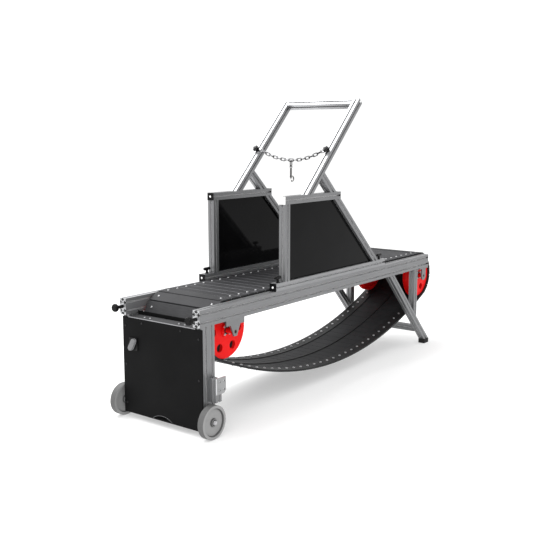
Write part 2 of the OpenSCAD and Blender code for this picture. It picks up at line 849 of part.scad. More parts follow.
// Shoulder bolt of a transport wheel, with its nut in the post's outer slot
module wheel_axles() {
    reach = spacer_len + 2 * gap + wheel_w;
    color(steel) placed() for (s = sides)
    translate([wheel_x, s * (half_w + reach), wheel_r]) rotate([s * 90, 0, 0]) rotate(90) {
        translate([0, 0, -axle_head]) cylinder(r = axle_head_r, h = axle_head, $fn = 6);
        cylinder(r = wheel_axle_r, h = reach);
        slot_bolt(reach);
    }
}

module wheel_spacers() {
    color(steel) placed() for (s = sides)
    translate([wheel_x, s * half_w, wheel_r]) rotate([-s * 90, 0, 0]) difference() {
        cylinder(r = spacer_r, h = spacer_len);
        translate([0, 0, -cut]) cylinder(r = wheel_axle_r + fit, h = spacer_len + 2 * cut);
    }
}

// Wheel with rounded tread, raised rim and hub, and a dished disc on both sides
module transport_wheel(side) {
    bore = wheel_axle_r + fit;
    rim = wheel_r - wheel_rim;
    round_x = wheel_r - wheel_round;
    half = concat(
        [[bore, 0], [wheel_hub, 0], [wheel_hub + wheel_bevel / 2, wheel_dish], [rim, wheel_dish],
         [rim + wheel_bevel, 0]],
        [for (a = [-90 : 15 : 0]) [round_x + wheel_round * cos(a), wheel_round + wheel_round * sin(a)]]);
    last = len(half) - 1;
    other_half = [for (i = [last : -1 : 0]) [half[i][0], wheel_w - half[i][1]]];
    color([0.62, 0.62, 0.62]) placed()
        translate([wheel_x, side * wheel_y, wheel_r]) rotate([-side * 90, 0, 0])
        rotate_extrude() polygon(concat(half, other_half));
}

module wheel_near() { transport_wheel(near); }

module wheel_far() { transport_wheel(far); }

// Belt

// Puts a child, drawn with its foot at the origin and +Z outwards, on the belt's outer face
module on_belt(s) {
    p = belt_pose(s);
    q = off_belt(p, slat_foot);
    translate([q[0], 0, q[1]]) rotate([0, 90 - p[2], 0]) children();
}

module slat() {
    w = slat_w / 2;
    low = slat_t - slat_chamfer;
    difference() {
        rotate([90, 0, 0]) linear_extrude(slat_len, center = true) polygon([
            [-w, 0], [w, 0], [w, low], [w - slat_chamfer, slat_t], [slat_chamfer - w, slat_t], [-w, low]]);
        for (s = sides) translate([0, s * bolt_y, -cut])
            cylinder(r = bolt_r + bolt_room, h = slat_t + 2 * cut, $fn = 24);
    }
}

module slat_row(run) {
    color([0.17, 0.17, 0.18]) placed() for (s = run) on_belt(s) slat();
}

module deck_slats() { slat_row(deck_run); }

module front_slats() { slat_row(front_run); }

module hanging_slats() { slat_row(hang_run); }

module rear_slats() { slat_row(rear_run); }

// Button-head bolt through a slat and its carrier belt, with the nut inside the belt
module slat_bolt() {
    under = -slat_foot - nut_room;
    tip = under - nut_t - bolt_tip;
    translate([0, 0, slat_t]) rotate_extrude($fn = 24)
        polygon([[0, 0], [head_r, 0], [head_r, head_rim], [head_top_r, head_h], [0, head_h]]);
    translate([0, 0, tip]) cylinder(r = bolt_r, h = slat_t - tip, $fn = 24);
    translate([0, 0, under - nut_t]) cylinder(r = nut_r, h = nut_t, $fn = 6);
}

module slat_bolts() {
    color(steel) placed() for (s = slats, y = sides) on_belt(s) translate([0, y * bolt_y, 0]) slat_bolt();
}

// The two carrier belts and the narrow rib along the belt's middle
module carrier_belts() {
    color([0.12, 0.12, 0.13]) placed() {
        for (y = sides) difference() {
            translate([0, y * bolt_y, 0]) belt_loop(belt_w);
            for (s = slats) on_belt(s) translate([0, y * bolt_y, -slat_foot - cut])
                cylinder(r = bolt_r + bolt_room, h = slat_foot + 2 * cut, $fn = 24);
        }
        belt_loop(rib_w);
    }
}

module belt_loop(w) {
    inner = [for (s = belt_stations) off_belt(belt_pose(s), 0)];
    outer = [for (s = belt_stations) off_belt(belt_pose(s), belt_t)];
    rotate([90, 0, 0]) linear_extrude(w, center = true) difference() {
        polygon(outer);
        polygon(inner);
    }
}

// Axles and pulleys

// Turns +Z of a child along the axle at x
module on_axle(x) {
    placed() translate([x, 0, axle_z]) rotate([90, 0, 0]) children();
}

module axle(x, reach) {
    color(steel) on_axle(x) cylinder(r = axle_r, h = 2 * reach, center = true);
}

// Pulley with a web at its outer side and a groove that the belt's nuts run in
module pulley() {
    g = groove_w / 2;
    back = pulley_out - pulley_w;
    web = pulley_out - web_t;
    floor_r = pulley_r - groove_depth;
    shoulder_r = pulley_r - pulley_chamfer;
    rim_r = floor_r - rim_wall;
    difference() {
        rotate_extrude($fn = 96) polygon([
            [hub_r, web], [rim_r, web], [rim_r, back], [shoulder_r, back], [pulley_r, back + pulley_chamfer],
            [pulley_r, -g], [floor_r, -g], [floor_r, g], [pulley_r, g],
            [pulley_r, pulley_out - pulley_chamfer], [shoulder_r, pulley_out], [hub_r, pulley_out]]);
        for (i = [0 : light_count - 1]) rotate(i * 360 / light_count)
            translate([light_circle, 0, web - cut]) cylinder(r = light_r, h = web_t + 2 * cut);
    }
}

module pulleys(x) {
    color([0.85, 0.08, 0.08]) on_axle(x)
        for (m = [0, 1]) mirror([0, 0, m]) translate([0, 0, bolt_y]) pulley();
}

// Flanged hubs of the pulleys, their bolts, and the collars that keep them off the hangers
module hubs(x, hanger_y) {
    collar = hanger_y - hanger_t / 2 - bush_lip - gap - pulley_edge;
    color(steel) on_axle(x) for (m = [0, 1]) mirror([0, 0, m]) translate([0, 0, pulley_edge]) {
        difference() {
            union() {
                translate([0, 0, -pulley_w]) cylinder(r = hub_r - fit, h = pulley_w);
                cylinder(r = flange_r, h = flange_t);
                cylinder(r = collar_r, h = collar);
            }
            translate([0, 0, -pulley_w - cut]) cylinder(r = axle_r + fit, h = pulley_w + collar + 2 * cut);
        }
        for (i = [0 : 3]) rotate(45 + 90 * i)
            translate([hub_bolt_circle, 0, flange_t]) cylinder(r = hub_bolt_r, h = hub_bolt_h);
    }
}

module front_axle() { axle(front_axle_x, front_hanger_y + hanger_t / 2 - axle_recess); }

module front_pulleys() { pulleys(front_axle_x); }

module front_hubs() { hubs(front_axle_x, front_hanger_y); }

module rear_axle() { axle(rear_axle_x, rear_hanger_y + hanger_t / 2 - axle_recess); }

module rear_pulleys() { pulleys(rear_axle_x); }

module rear_hubs() { hubs(rear_axle_x, rear_hanger_y); }

// Guards

module guard_lower_bars() {
    color(alu) placed() for (s = sides) difference() {
        translate([guard_x, s * rail_y, guard_z + bar / 2]) bar_along_x(guard_len);
        for (x = handle_xs)
            translate([x, s * rail_y, guard_z - cut]) cylinder(r = stud_r + gap, h = bar + 2 * cut);
    }
}

module guard_posts() {
    color(alu) placed() for (s = sides)
        translate([guard_post_x + bar / 2, s * rail_y, guard_bar_top])
            bar_along_z(guard_under - guard_bar_top);
}

module guard_top_bars() {
    color(alu) placed() for (s = sides)
        translate([guard_post_x, s * rail_y, guard_under + bar / 2]) bar_along_x(guard_top_len);
}

module guard_diagonals() {
    color(alu) placed() for (s = sides)
        translate([diag_foot_x, s * rail_y, guard_bar_top])
            sloped_bar(diag_slope, guard_under - guard_bar_top);
}

// Smoked panels, which stand on the floor of the lower bars' slots
module guard_panels() {
    front = guard_post_x + bar - panel_seat;
    low = guard_bar_top - slot_depth;
    high = guard_under + panel_seat;
    back = diag_x - diag_cut / 2 + panel_seat / sin(diag_slope);
    back_low = back + (guard_under - low) / tan(diag_slope);
    back_high = back - panel_seat / tan(diag_slope);
    color([0.12, 0.12, 0.13, 0.8]) placed() for (s = sides) translate([0, s * rail_y, 0]) rotate([90, 0, 0])
        linear_extrude(guard_panel_t, center = true)
        polygon([[front, low], [back_low, low], [back_high, high], [front, high]]);
}

// Caps on the front ends of both lower bars and of the far top bar
module guard_caps() {
    spots = [[guard_x, near, guard_z], [guard_x, far, guard_z], [guard_post_x, far, guard_under]];
    color(dark) placed() for (p = spots)
        translate([p[0], p[1] * rail_y, p[2] + bar / 2]) rotate([0, -90, 0]) difference() {
            round_plate(bar, bar, cap_t, cap_corner);
            translate([0, 0, -cut]) cylinder(d = bar_bore, h = cap_t + 2 * cut);
        }
}

module tether_uprights() {
    under = bar / tan(upright_lean);
    color(alu) placed() for (s = sides) translate([upright_x, s * rail_y, guard_top]) intersection() {
        rotate([0, 90 - upright_lean, 0]) translate([0, 0, -under]) bar_along_z(upright_len + under);
        translate([-upright_len, -bar, 0]) cube([3 * upright_len, 2 * bar, upright_len + bar]);
    }
}

// Crossbar, flush with the upper ends of the uprights and turned with their lean
module tether_crossbar() {
    p = on_upright(upright_len - bar / 2, -bar / 2);
    color(alu) placed() translate([p[0], 0, p[1]]) rotate([0, -upright_lean, 0]) bar_along_y(2 * rail_in);
}

// Braces in line with the guards' diagonals, from the top bars to the uprights' rear faces
module tether_braces() {
    foot = diag_x - bar / tan(diag_slope);
    back = upright_x + upright_cut / 2;
    rise = (foot + diag_cut / 2 - back) * tan(diag_slope);
    color(alu) placed() for (s = sides) difference() {
        translate([foot, s * rail_y, guard_top]) sloped_bar(diag_slope, rise);
        translate([back, s * rail_y, guard_top]) rotate([0, 90 - upright_lean, 0])
            translate([-rise - bar, -bar, -bar]) cube([rise + bar, 2 * bar, 2 * rise + 2 * bar]);
    }
}

module slide_nuts() {
    color(steel) placed() for (s = sides, x = handle_xs)
        translate([x, s * rail_y, rail_top - nut_drop]) slide_nut();
}

// Hand-turned pieces

// T-handle on a stud that reaches down into the nut in the rail's slot
module t_handle(x, side) {
    foot = guard_bar_top + gap;
    color(dark) placed() translate([x, side * rail_y, foot]) {
        translate([0, 0, rail_top - nut_drop - foot])
            cylinder(r = stud_r, h = foot + nut_drop - rail_top + t_foot_h);
        rotate_extrude() polygon([
            [0, 0], [t_foot_r, 0], [t_foot_r, t_foot_h], [t_neck_r, t_neck_h], [t_neck_r, grip_rise],
            [0, grip_rise]]);
        translate([0, 0, grip_rise]) rotate([0, 90, 0]) {
            cylinder(r = t_grip_r, h = grip_len - 2 * t_grip_r, center = true);
            for (d = sides) translate([0, 0, d * (grip_len / 2 - t_grip_r)]) sphere(t_grip_r);
        }
    }
}

module handle_front_near() { t_handle(handle_front_x, near); }

module handle_front_far() { t_handle(handle_front_x, far); }

module handle_rear_near() { t_handle(handle_rear_x, near); }

module handle_rear_far() { t_handle(handle_rear_x, far); }

module tension_knob(side) {
    inner = knob_r - knob_edge;
    color(dark) placed() translate([-knob_out, side * rail_y, rail_mid]) rotate([0, 90, 0]) {
        cylinder(r = tension_r, h = knob_out + tension_depth);
        rotate_extrude() polygon([
            [0, 0], [inner, 0], [knob_r, knob_edge], [knob_r, knob_head - knob_edge], [inner, knob_head],
            [knob_neck_r, knob_head], [knob_neck_r, knob_out - gap], [0, knob_out - gap]]);
    }
}

module tension_knob_near() { tension_knob(near); }

module tension_knob_far() { tension_knob(far); }

// Tether

// Puts a child on the upright's front face at the eye, +X along the upright and +Z out of it
module at_eye(side, out) {
    p = on_upright(eye_along, out);
    translate([p[0], side * rail_y, p[1]]) rotate([0, -upright_lean, 0]) children();
}

// Stadium link of round wire, its length along Y, flat in the YZ plane
module link() {
    straight = round((link_in - link_w) / link_step) * link_step;
    turn = (link_w + chain_d) / 2;
    for (s = sides) {
        translate([0, 0, s * turn]) rotate([90, 0, 0])
            cylinder(d = chain_d, h = straight, center = true, $fn = 16);
        translate([0, s * straight / 2, 0]) rotate([0, 90, 0]) rotate(s > 0 ? 0 : 180)
            rotate_extrude(angle = 180, $fn = 24) translate([turn, 0]) circle(d = chain_d, $fn = 16);
    }
}

// Sagging chain, and the drop link below its middle
module tether_chain() {
    color([0.75, 0.75, 0.77]) placed() {
        for (k = [-half_links : half_links]) {
            s = k * link_pitch;
            w = asinh(s / chain_a);
            translate([chain_x, chain_a * w, chain_mid_z + chain_a * (cosh(w) - 1)])
                rotate([atan(s / chain_a), 0, 0]) rotate([0, k % 2 == 0 ? 0 : 90, 0]) link();
        }
        translate([chain_x, 0, drop_z]) rotate(90) rotate([90, 0, 0]) link();
    }
}

// Eye plates under the star knobs, each with a tab and a ring for the chain, and their nuts
// in the uprights' front slots
module tether_eyes() {
    inward = rail_y - ring_y - ring_r;
    color(steel) placed() for (s = sides) {
        at_eye(s, gap) difference() {
            linear_extrude(eye_t) {
                circle(eye_r);
                translate([-eye_tab, -(s + 1) / 2 * inward]) square([2 * eye_tab, inward]);
            }
            translate([0, 0, -cut]) cylinder(r = stud_r + gap, h = eye_t + 2 * cut);
        }
        translate([chain_x, s * ring_y, eye_point[1]]) rotate([0, 90, 0])
            rotate_extrude($fn = 32) translate([ring_r, 0]) circle(d = ring_d, $fn = 16);
        at_eye(s, -nut_drop) slide_nut();
    }
}

module star_knob(side) {
    foot = eye_t + 2 * gap;
    color(dark) placed() at_eye(side, foot) {
        translate([0, 0, -foot - nut_drop]) cylinder(r = stud_r, h = foot + nut_drop + star_neck);
        cylinder(r = star_neck_r, h = star_neck);
        translate([0, 0, star_neck]) {
            cylinder(r = star_r - star_lobe_r, h = star_h + star_boss);
            for (i = [0 : star_lobes - 1]) rotate(i * 360 / star_lobes)
                translate([star_r - star_lobe_r, 0, 0]) cylinder(r = star_lobe_r, h = star_h);
        }
    }
}

module star_knob_near() { star_knob(near); }

module star_knob_far() { star_knob(far); }

// Snap hook: eye, bored barrel with a slot for the thumb peg, and open loop
module snap_hook() {
    color([0.75, 0.75, 0.77]) placed() translate([chain_x, 0, 0]) rotate(180) {
        translate([0, 0, hook_eye_z]) rotate([0, 90, 0])
            rotate_extrude($fn = 32) translate([hook_eye_r, 0]) circle(d = hook_eye_d, $fn = 16);
        difference() {
            union() {
                translate([0, 0, barrel_base]) cylinder(r = barrel_r, h = barrel_len);
                translate([hook_loop_x, 0, hook_loop_z]) rotate([90, 0, 0]) rotate(hook_from)
                    rotate_extrude(angle = hook_to - hook_from, $fn = 48)
                    translate([hook_r, 0]) circle(d = hook_wire, $fn = 16);
            }
            translate([0, 0, barrel_base - cut])
                cylinder(r = gate_r + fit, h = gate_inside + gate_travel + cut + gap);
            translate([0, -thumb_r - gap, barrel_base + thumb_rise - thumb_r - gap])
                cube([barrel_r + cut, 2 * (thumb_r + gap), gate_travel + 2 * (thumb_r + gap)]);
        }
    }
}

// Sliding bolt that closes the hook, with its thumb peg
module hook_gate() {
    low = hook_tip_z + gap;
    color(steel) placed() translate([chain_x, 0, 0]) rotate(180) {
        translate([0, 0, low]) cylinder(r = gate_r, h = barrel_base + gate_inside - low);
        translate([0, 0, barrel_base + thumb_rise]) rotate([0, 90, 0]) cylinder(r = thumb_r, h = thumb_out);
    }
}

rail_near();
rail_far();
front_posts();
front_ties();
front_panel();
panel_screws();
front_shelf();
latch_base();
deck_ties();
deck_runners();
runner_brackets();
front_hangers();
rear_hangers();
frame_bolts();
axle_bushes();
rear_legs();
rear_struts();
rear_tie();
rear_feet();
wheel_stubs();
stub_plates();
wheel_axles();
wheel_spacers();
carrier_belts();
deck_slats();
front_slats();
hanging_slats();
rear_slats();
slat_bolts();
front_axle();
front_pulleys();
front_hubs();
rear_axle();
rear_pulleys();
rear_hubs();
wheel_near();
wheel_far();
guard_lower_bars();
guard_posts();
guard_top_bars();
guard_diagonals();
guard_panels();
guard_caps();
tether_uprights();
tether_crossbar();
tether_braces();
slide_nuts();
handle_front_near();
handle_front_far();
handle_rear_near();
handle_rear_far();
tension_knob_near();
tension_knob_far();
tether_chain();
tether_eyes();
star_knob_near();
star_knob_far();
snap_hook();
hook_gate();
latch_lever();
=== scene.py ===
"""Looks of a slat-belt dog treadmill: finishes for its frame, small fittings, stage and camera."""

import logging
import math
from dataclasses import dataclass
from enum import Enum

import bmesh
import bpy
from mathutils import Euler, Matrix, Vector


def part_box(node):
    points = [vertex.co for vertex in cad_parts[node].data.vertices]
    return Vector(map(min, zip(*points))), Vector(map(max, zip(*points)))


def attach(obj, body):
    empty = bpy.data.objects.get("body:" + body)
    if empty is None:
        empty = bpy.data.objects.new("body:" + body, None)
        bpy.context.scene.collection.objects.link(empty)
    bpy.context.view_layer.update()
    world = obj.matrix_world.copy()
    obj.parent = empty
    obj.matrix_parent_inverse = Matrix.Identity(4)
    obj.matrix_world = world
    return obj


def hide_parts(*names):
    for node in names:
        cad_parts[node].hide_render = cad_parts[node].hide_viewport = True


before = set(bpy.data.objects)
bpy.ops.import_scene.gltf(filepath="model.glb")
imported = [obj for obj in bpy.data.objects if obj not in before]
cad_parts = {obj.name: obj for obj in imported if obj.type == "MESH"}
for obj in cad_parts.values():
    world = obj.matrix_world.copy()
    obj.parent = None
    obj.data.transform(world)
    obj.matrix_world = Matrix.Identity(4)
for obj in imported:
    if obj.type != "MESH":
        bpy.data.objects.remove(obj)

LOG = logging.getLogger("treadmill")
MID_X = 1.110202688
SIDES = (-1, 1)
SIDE_NAMES = ("near", "far")
RAIL_Y = 0.22595
RAIL_TOP = 0.572
BAR = 0.0381
FRONT_AXLE_X = 0.241
REAR_AXLE_X = 2.130
AXLE_Z = 0.437
PANEL_X = 0.014
GUARD_TOP_Z = 1.00195
GUARD_LOW_Z = 0.59135
UPRIGHT_X = 0.827
UPRIGHT_Z = 1.021
UPRIGHT_OUT = Vector((-math.sqrt(0.5), 0.0, math.sqrt(0.5)))
UPRIGHT_ALONG = Vector((math.sqrt(0.5), 0.0, math.sqrt(0.5)))
NOISE_LOW = 0.3
NOISE_HIGH = 0.7
# Occlusion range, reach and samples of the light and shade painted into hollows.
OPEN_FACE = 0.85
DEEP_FACE = 0.55
HOLLOW_REACH = 0.013
HOLLOW_SAMPLES = 32
SHARP_ANGLE = math.radians(38)


class Run(Enum):
    """Direction in which a bar was drawn, as the turn that brings its grain to the X axis."""

    ALONG_X = (0.0, 0.0, 0.0)
    ALONG_Y = (0.0, 0.0, 90.0)
    ALONG_Z = (0.0, 90.0, 0.0)
    LEG = (0.0, -45.0, 0.0)
    DIAGONAL = (0.0, -42.4, 0.0)
    UPRIGHT = (0.0, 45.0, 0.0)


class Grain(Enum):
    """Stretch of a finish's fine grain: points per metre along, across and through."""

    DRAWN = (6.0, 700.0, 700.0)
    SAWN = (25.0, 420.0, 420.0)
    EVEN = (260.0, 260.0, 260.0)
    FINE = (900.0, 900.0, 900.0)
    TURNED = (500.0, 60.0, 500.0)


@dataclass(frozen=True)
class Finish:
    """A surface finish: colour with a slow drift and a fine grain, which also sets gloss and relief, with painted
    light and shade where set.

    Attributes:
        name: Name of the finish.
        colour: Middle colour.
        roughness: Middle roughness.
        metallic: Share of metal.
        grain: Stretch of the fine grain.
        run: Direction of the grain.
        swing: Change of the colour with the grain, as a share.
        drift: Change of the colour over the piece, as a share.
        gloss_swing: Change of the roughness with the grain.
        relief: Height of the grain in metres.
        specular: Strength of the mirror light.
        painted_light_in_hollows: Grey painted into slots and corners in place of their light and shade, or 0 where
            they are like the open faces.
        painted_light_by_face: Painted light and shade: factors on the colour of faces across X, Y and Z, fitted to
            the light that the part was seen in.
    """

    name: str
    colour: tuple[float, float, float]
    roughness: float
    metallic: float = 0.0
    grain: Grain = Grain.EVEN
    run: Run = Run.ALONG_X
    swing: float = 0.12
    drift: float = 0.08
    gloss_swing: float = 0.08
    relief: float = 0.00002
    specular: float = 0.5
    painted_light_in_hollows: float = 0.0
    painted_light_by_face: tuple[float, float, float] = (1.0, 1.0, 1.0)

    def material(self) -> bpy.types.Material:
        """Build the finish as a node material, or return the one already built.

        Returns:
            The material, shared by every piece with this finish.
        """
        label = f"finish_{self.name}"
        found = bpy.data.materials.get(label)
        if found is not None:
            return found
        made = bpy.data.materials.new(label)
        made.use_nodes = True
        tree = made.node_tree
        shader = tree.nodes["Principled BSDF"]
        shader.inputs["Metallic"].default_value = self.metallic
        shader.inputs["Specular IOR Level"].default_value = self.specular
        fine = self._grain(tree)
        slow = self._drift(tree)
        self._paint(tree, shader, fine, slow)
        self._gloss(tree, shader, fine)
        self._relief(tree, shader, fine)
        made.diffuse_color = (*self.colour, 1.0)
        return made

    def _coordinates(self, tree: bpy.types.NodeTree, scale: tuple[float, float, float]) -> bpy.types.NodeSocket:
        """Turn and stretch the piece's own coordinates.

        Args:
            tree: The material's nodes.
            scale: Points per metre along, across and through the grain.

        Returns:
            The socket with the stretched coordinates.
        """
        place = tree.nodes.new("ShaderNodeTexCoord")
        turn = tree.nodes.new("ShaderNodeMapping")
        turn.inputs["Rotation"].default_value = [math.radians(a) for a in self.run.value]
        stretch = tree.nodes.new("ShaderNodeMapping")
        stretch.inputs["Scale"].default_value = scale
        tree.links.new(place.outputs["Object"], turn.inputs["Vector"])
        tree.links.new(turn.outputs["Vector"], stretch.inputs["Vector"])
        return stretch.outputs["Vector"]

    def _grain(self, tree: bpy.types.NodeTree) -> bpy.types.NodeSocket:
        """Fine grain of the finish.

        Args:
            tree: The material's nodes.

        Returns:
            The socket with the grain, from 0 to 1.
        """
        noise = tree.nodes.new("ShaderNodeTexNoise")
        noise.inputs["Scale"].default_value = 1.0
        noise.inputs["Detail"].default_value = 3.0
        noise.inputs["Roughness"].default_value = 0.6
        tree.links.new(self._coordinates(tree, self.grain.value), noise.inputs["Vector"])
        return noise.outputs["Fac"]

    def _drift(self, tree: bpy.types.NodeTree) -> bpy.types.NodeSocket:
        """Slow drift of the colour over the piece.

        Args:
            tree: The material's nodes.

        Returns:
            The socket with the drift, from 0 to 1.
        """
        noise = tree.nodes.new("ShaderNodeTexNoise")
        noise.inputs["Scale"].default_value = 7.0
        noise.inputs["Detail"].default_value = 2.0
        place = tree.nodes.new("ShaderNodeTexCoord")
        tree.links.new(place.outputs["Object"], noise.inputs["Vector"])
        return noise.outputs["Fac"]

    def _shade(self, factor: float) -> tuple[float, float, float, float]:
        """The finish's colour, made lighter or darker by a factor."""
        return tuple(min(1.0, c * factor) for c in self.colour) + (1.0,)

    def _paint(self, tree: bpy.types.NodeTree, shader: bpy.types.Node, fine: bpy.types.NodeSocket,
               slow: bpy.types.NodeSocket) -> None:
        """Colour the finish by its grain and its drift, and add its painted light and shade.

        Args:
            tree: The material's nodes.
            shader: The surface shader.
            fine: The fine grain.
            slow: The slow drift.
        """
        ramp = tree.nodes.new("ShaderNodeValToRGB")
        ramp.color_ramp.elements[0].position = NOISE_LOW
        ramp.color_ramp.elements[0].color = self._shade(1.0 - self.swing)
        ramp.color_ramp.elements[1].position = NOISE_HIGH
        ramp.color_ramp.elements[1].color = self._shade(1.0 + self.swing)
        tree.links.new(fine, ramp.inputs["Fac"])
        level = tree.nodes.new("ShaderNodeMapRange")
        level.inputs["From Min"].default_value = NOISE_LOW
        level.inputs["From Max"].default_value = NOISE_HIGH
        level.inputs["To Min"].default_value = 1.0 - self.drift
        level.inputs["To Max"].default_value = 1.0 + self.drift
        tree.links.new(slow, level.inputs["Value"])
        tint = tree.nodes.new("ShaderNodeVectorMath")
        tint.operation = "SCALE"
        tree.links.new(ramp.outputs["Color"], tint.inputs[0])
        tree.links.new(level.outputs["Result"], tint.inputs["Scale"])
        colour = self._paint_light_by_face(tree, tint.outputs["Vector"])
        tree.links.new(colour, shader.inputs["Base Color"])
        if self.painted_light_in_hollows > 0.0:
            self._paint_light_in_hollows(tree, shader, colour)

    def _paint_light_by_face(self, tree: bpy.types.NodeTree, colour: bpy.types.NodeSocket) -> bpy.types.NodeSocket:
        """Lighten or darken faces by the axis that they face, to come near the photo's light.

        Args:
            tree: The material's nodes.
            colour: The colour before the change.

        Returns:
            The socket with the changed colour.
        """
        if self.painted_light_by_face == (1.0, 1.0, 1.0):
            return colour
        place = tree.nodes.new("ShaderNodeTexCoord")
        square = tree.nodes.new("ShaderNodeVectorMath")
        square.operation = "MULTIPLY"
        tree.links.new(place.outputs["Normal"], square.inputs[0])
        tree.links.new(place.outputs["Normal"], square.inputs[1])
        share = tree.nodes.new("ShaderNodeVectorMath")
        share.operation = "DOT_PRODUCT"
        share.inputs[1].default_value = self.painted_light_by_face
        tree.links.new(square.outputs["Vector"], share.inputs[0])
        tint = tree.nodes.new("ShaderNodeVectorMath")
        tint.operation = "SCALE"
        tree.links.new(colour, tint.inputs[0])
        tree.links.new(share.outputs["Value"], tint.inputs["Scale"])
        return tint.outputs["Vector"]

    def _paint_light_in_hollows(self, tree: bpy.types.NodeTree, shader: bpy.types.Node, colour: bpy.types.NodeSocket) -> None:
        """Paint light and shade into slots and corners: a grey, found by occlusion, in place of the light that
        reaches them.

        Args:
            tree: The material's nodes.
            shader: The surface shader.
            colour: The colour of the open faces.
        """
        # Occlusion finds slots and corners; a painted grey stands in for their light and shade.
        depth = tree.nodes.new("ShaderNodeAmbientOcclusion")
        depth.only_local = True
        depth.samples = HOLLOW_SAMPLES
        depth.inputs["Distance"].default_value = HOLLOW_REACH
        share = tree.nodes.new("ShaderNodeMapRange")
        share.inputs["From Min"].default_value = OPEN_FACE
        share.inputs["From Max"].default_value = DEEP_FACE
        tree.links.new(depth.outputs["AO"], share.inputs["Value"])
        blend = tree.nodes.new("ShaderNodeMix")
        blend.data_type = "RGBA"
        blend.inputs["B"].default_value = (self.painted_light_in_hollows, self.painted_light_in_hollows, self.painted_light_in_hollows * 1.01, 1.0)
        tree.links.new(share.outputs["Result"], blend.inputs["Factor"])
        tree.links.new(colour, blend.inputs["A"])
        tree.links.new(blend.outputs["Result"], shader.inputs["Base Color"])
        # The painted grey in hollows also takes the metal away there.
        metal = tree.nodes.new("ShaderNodeMapRange")
        metal.inputs["To Min"].default_value = self.metallic
        metal.inputs["To Max"].default_value = 0.0
        tree.links.new(share.outputs["Result"], metal.inputs["Value"])
        tree.links.new(metal.outputs["Result"], shader.inputs["Metallic"])

    def _gloss(self, tree: bpy.types.NodeTree, shader: bpy.types.Node, fine: bpy.types.NodeSocket) -> None:
        """Let the gloss vary with the grain.

        Args:
            tree: The material's nodes.
            shader: The surface shader.
            fine: The fine grain.
        """
        spread = tree.nodes.new("ShaderNodeMapRange")
        spread.inputs["From Min"].default_value = NOISE_LOW
        spread.inputs["From Max"].default_value = NOISE_HIGH
        spread.inputs["To Min"].default_value = max(0.02, self.roughness - self.gloss_swing)
        spread.inputs["To Max"].default_value = min(1.0, self.roughness + self.gloss_swing)
        tree.links.new(fine, spread.inputs["Value"])
        tree.links.new(spread.outputs["Result"], shader.inputs["Roughness"])

    def _relief(self, tree: bpy.types.NodeTree, shader: bpy.types.Node, fine: bpy.types.NodeSocket) -> None:
        """Raise the grain from the surface.

        Args:
            tree: The material's nodes.
            shader: The surface shader.
            fine: The fine grain.
        """
        bump = tree.nodes.new("ShaderNodeBump")
        bump.inputs["Strength"].default_value = 0.6
        bump.inputs["Distance"].default_value = self.relief
        tree.links.new(fine, bump.inputs["Height"])
        tree.links.new(bump.outputs["Normal"], shader.inputs["Normal"])


def drawn_bar(name: str, run: Run, tone: float = 0.197, painted_light_by_face: tuple[float, float, float] = (1.0, 1.0, 1.0),
              painted_light_in_hollows: float = 0.66) -> Finish:
    """Mill-finish aluminium with drawing lines along the bar.

    Args:
        name: The bars that have this finish.
        run: The bars' direction.
        tone: How light the metal is; the lighter tones given to some bars are painted light.
        painted_light_by_face: Painted light and shade: factors on the tone of faces across X, Y and Z.
        painted_light_in_hollows: Grey painted into the slots in place of their light and shade, or 0 where they are
            like the open faces.

    Returns:
        The finish.
    """
    return Finish(f"drawn_{name}", (tone * 0.99, tone, tone * 1.025), 0.36, metallic=0.6, grain=Grain.DRAWN, run=run,
                  swing=0.1, drift=0.05, gloss_swing=0.07, relief=0.00001, painted_light_in_hollows=painted_light_in_hollows, painted_light_by_face=painted_light_by_face)


PLATE = Finish("milled_plate", (0.2, 0.202, 0.207), 0.42, metallic=0.7, grain=Grain.SAWN, swing=0.1)
# Painted light and shade: faces across X and Z lighter, faces across Y darker, hollows nearly black.
BRIGHT_PLATE = Finish("bright_plate", (0.42, 0.422, 0.428), 0.36, metallic=0.6, grain=Grain.SAWN, swing=0.08,
                      painted_light_in_hollows=0.02, painted_light_by_face=(1.8, 0.72, 1.4))
# Painted highlight: faces across X, the shelf's front edge, are made 4.5 times lighter.
SHELF = Finish("shelf_plate", (0.06, 0.06, 0.062), 0.4, grain=Grain.SAWN, run=Run.ALONG_Y, specular=0.0,
               painted_light_by_face=(4.5, 1.0, 1.0))
PANEL = Finish("panel_sheet", (0.006, 0.006, 0.0062), 0.48, grain=Grain.FINE, swing=0.25, drift=0.15,
               relief=0.00006, specular=0.04)
ZINC = Finish("zinc_plate", (0.42, 0.42, 0.43), 0.32, metallic=1.0, swing=0.14)
BRIGHT_ZINC = Finish("bright_zinc", (0.5, 0.5, 0.51), 0.34, metallic=0.5, swing=0.14)
TURNED = Finish("turned_steel", (0.34, 0.34, 0.35), 0.32, metallic=1.0, grain=Grain.TURNED, swing=0.12)
BLACK_SCREW = Finish("black_oxide", (0.008, 0.008, 0.0085), 0.42, metallic=0.2, swing=0.2, specular=0.3)
BRONZE = Finish("bush_bronze", (0.2, 0.175, 0.14), 0.4, metallic=0.8, grain=Grain.TURNED)
FOOT = Finish("foot_rubber", (0.01, 0.01, 0.01), 0.72, grain=Grain.EVEN, swing=0.3, relief=0.0001, specular=0.25)
# Painted light and shade: the wheel's sides lighter, its tread darker, and its creases painted dark.
WHEEL = Finish("wheel_rubber", (0.24, 0.24, 0.24), 0.6, grain=Grain.EVEN, swing=0.06, drift=0.05, relief=0.00004,
               specular=0.3, painted_light_in_hollows=0.05, painted_light_by_face=(0.42, 1.2, 0.46))
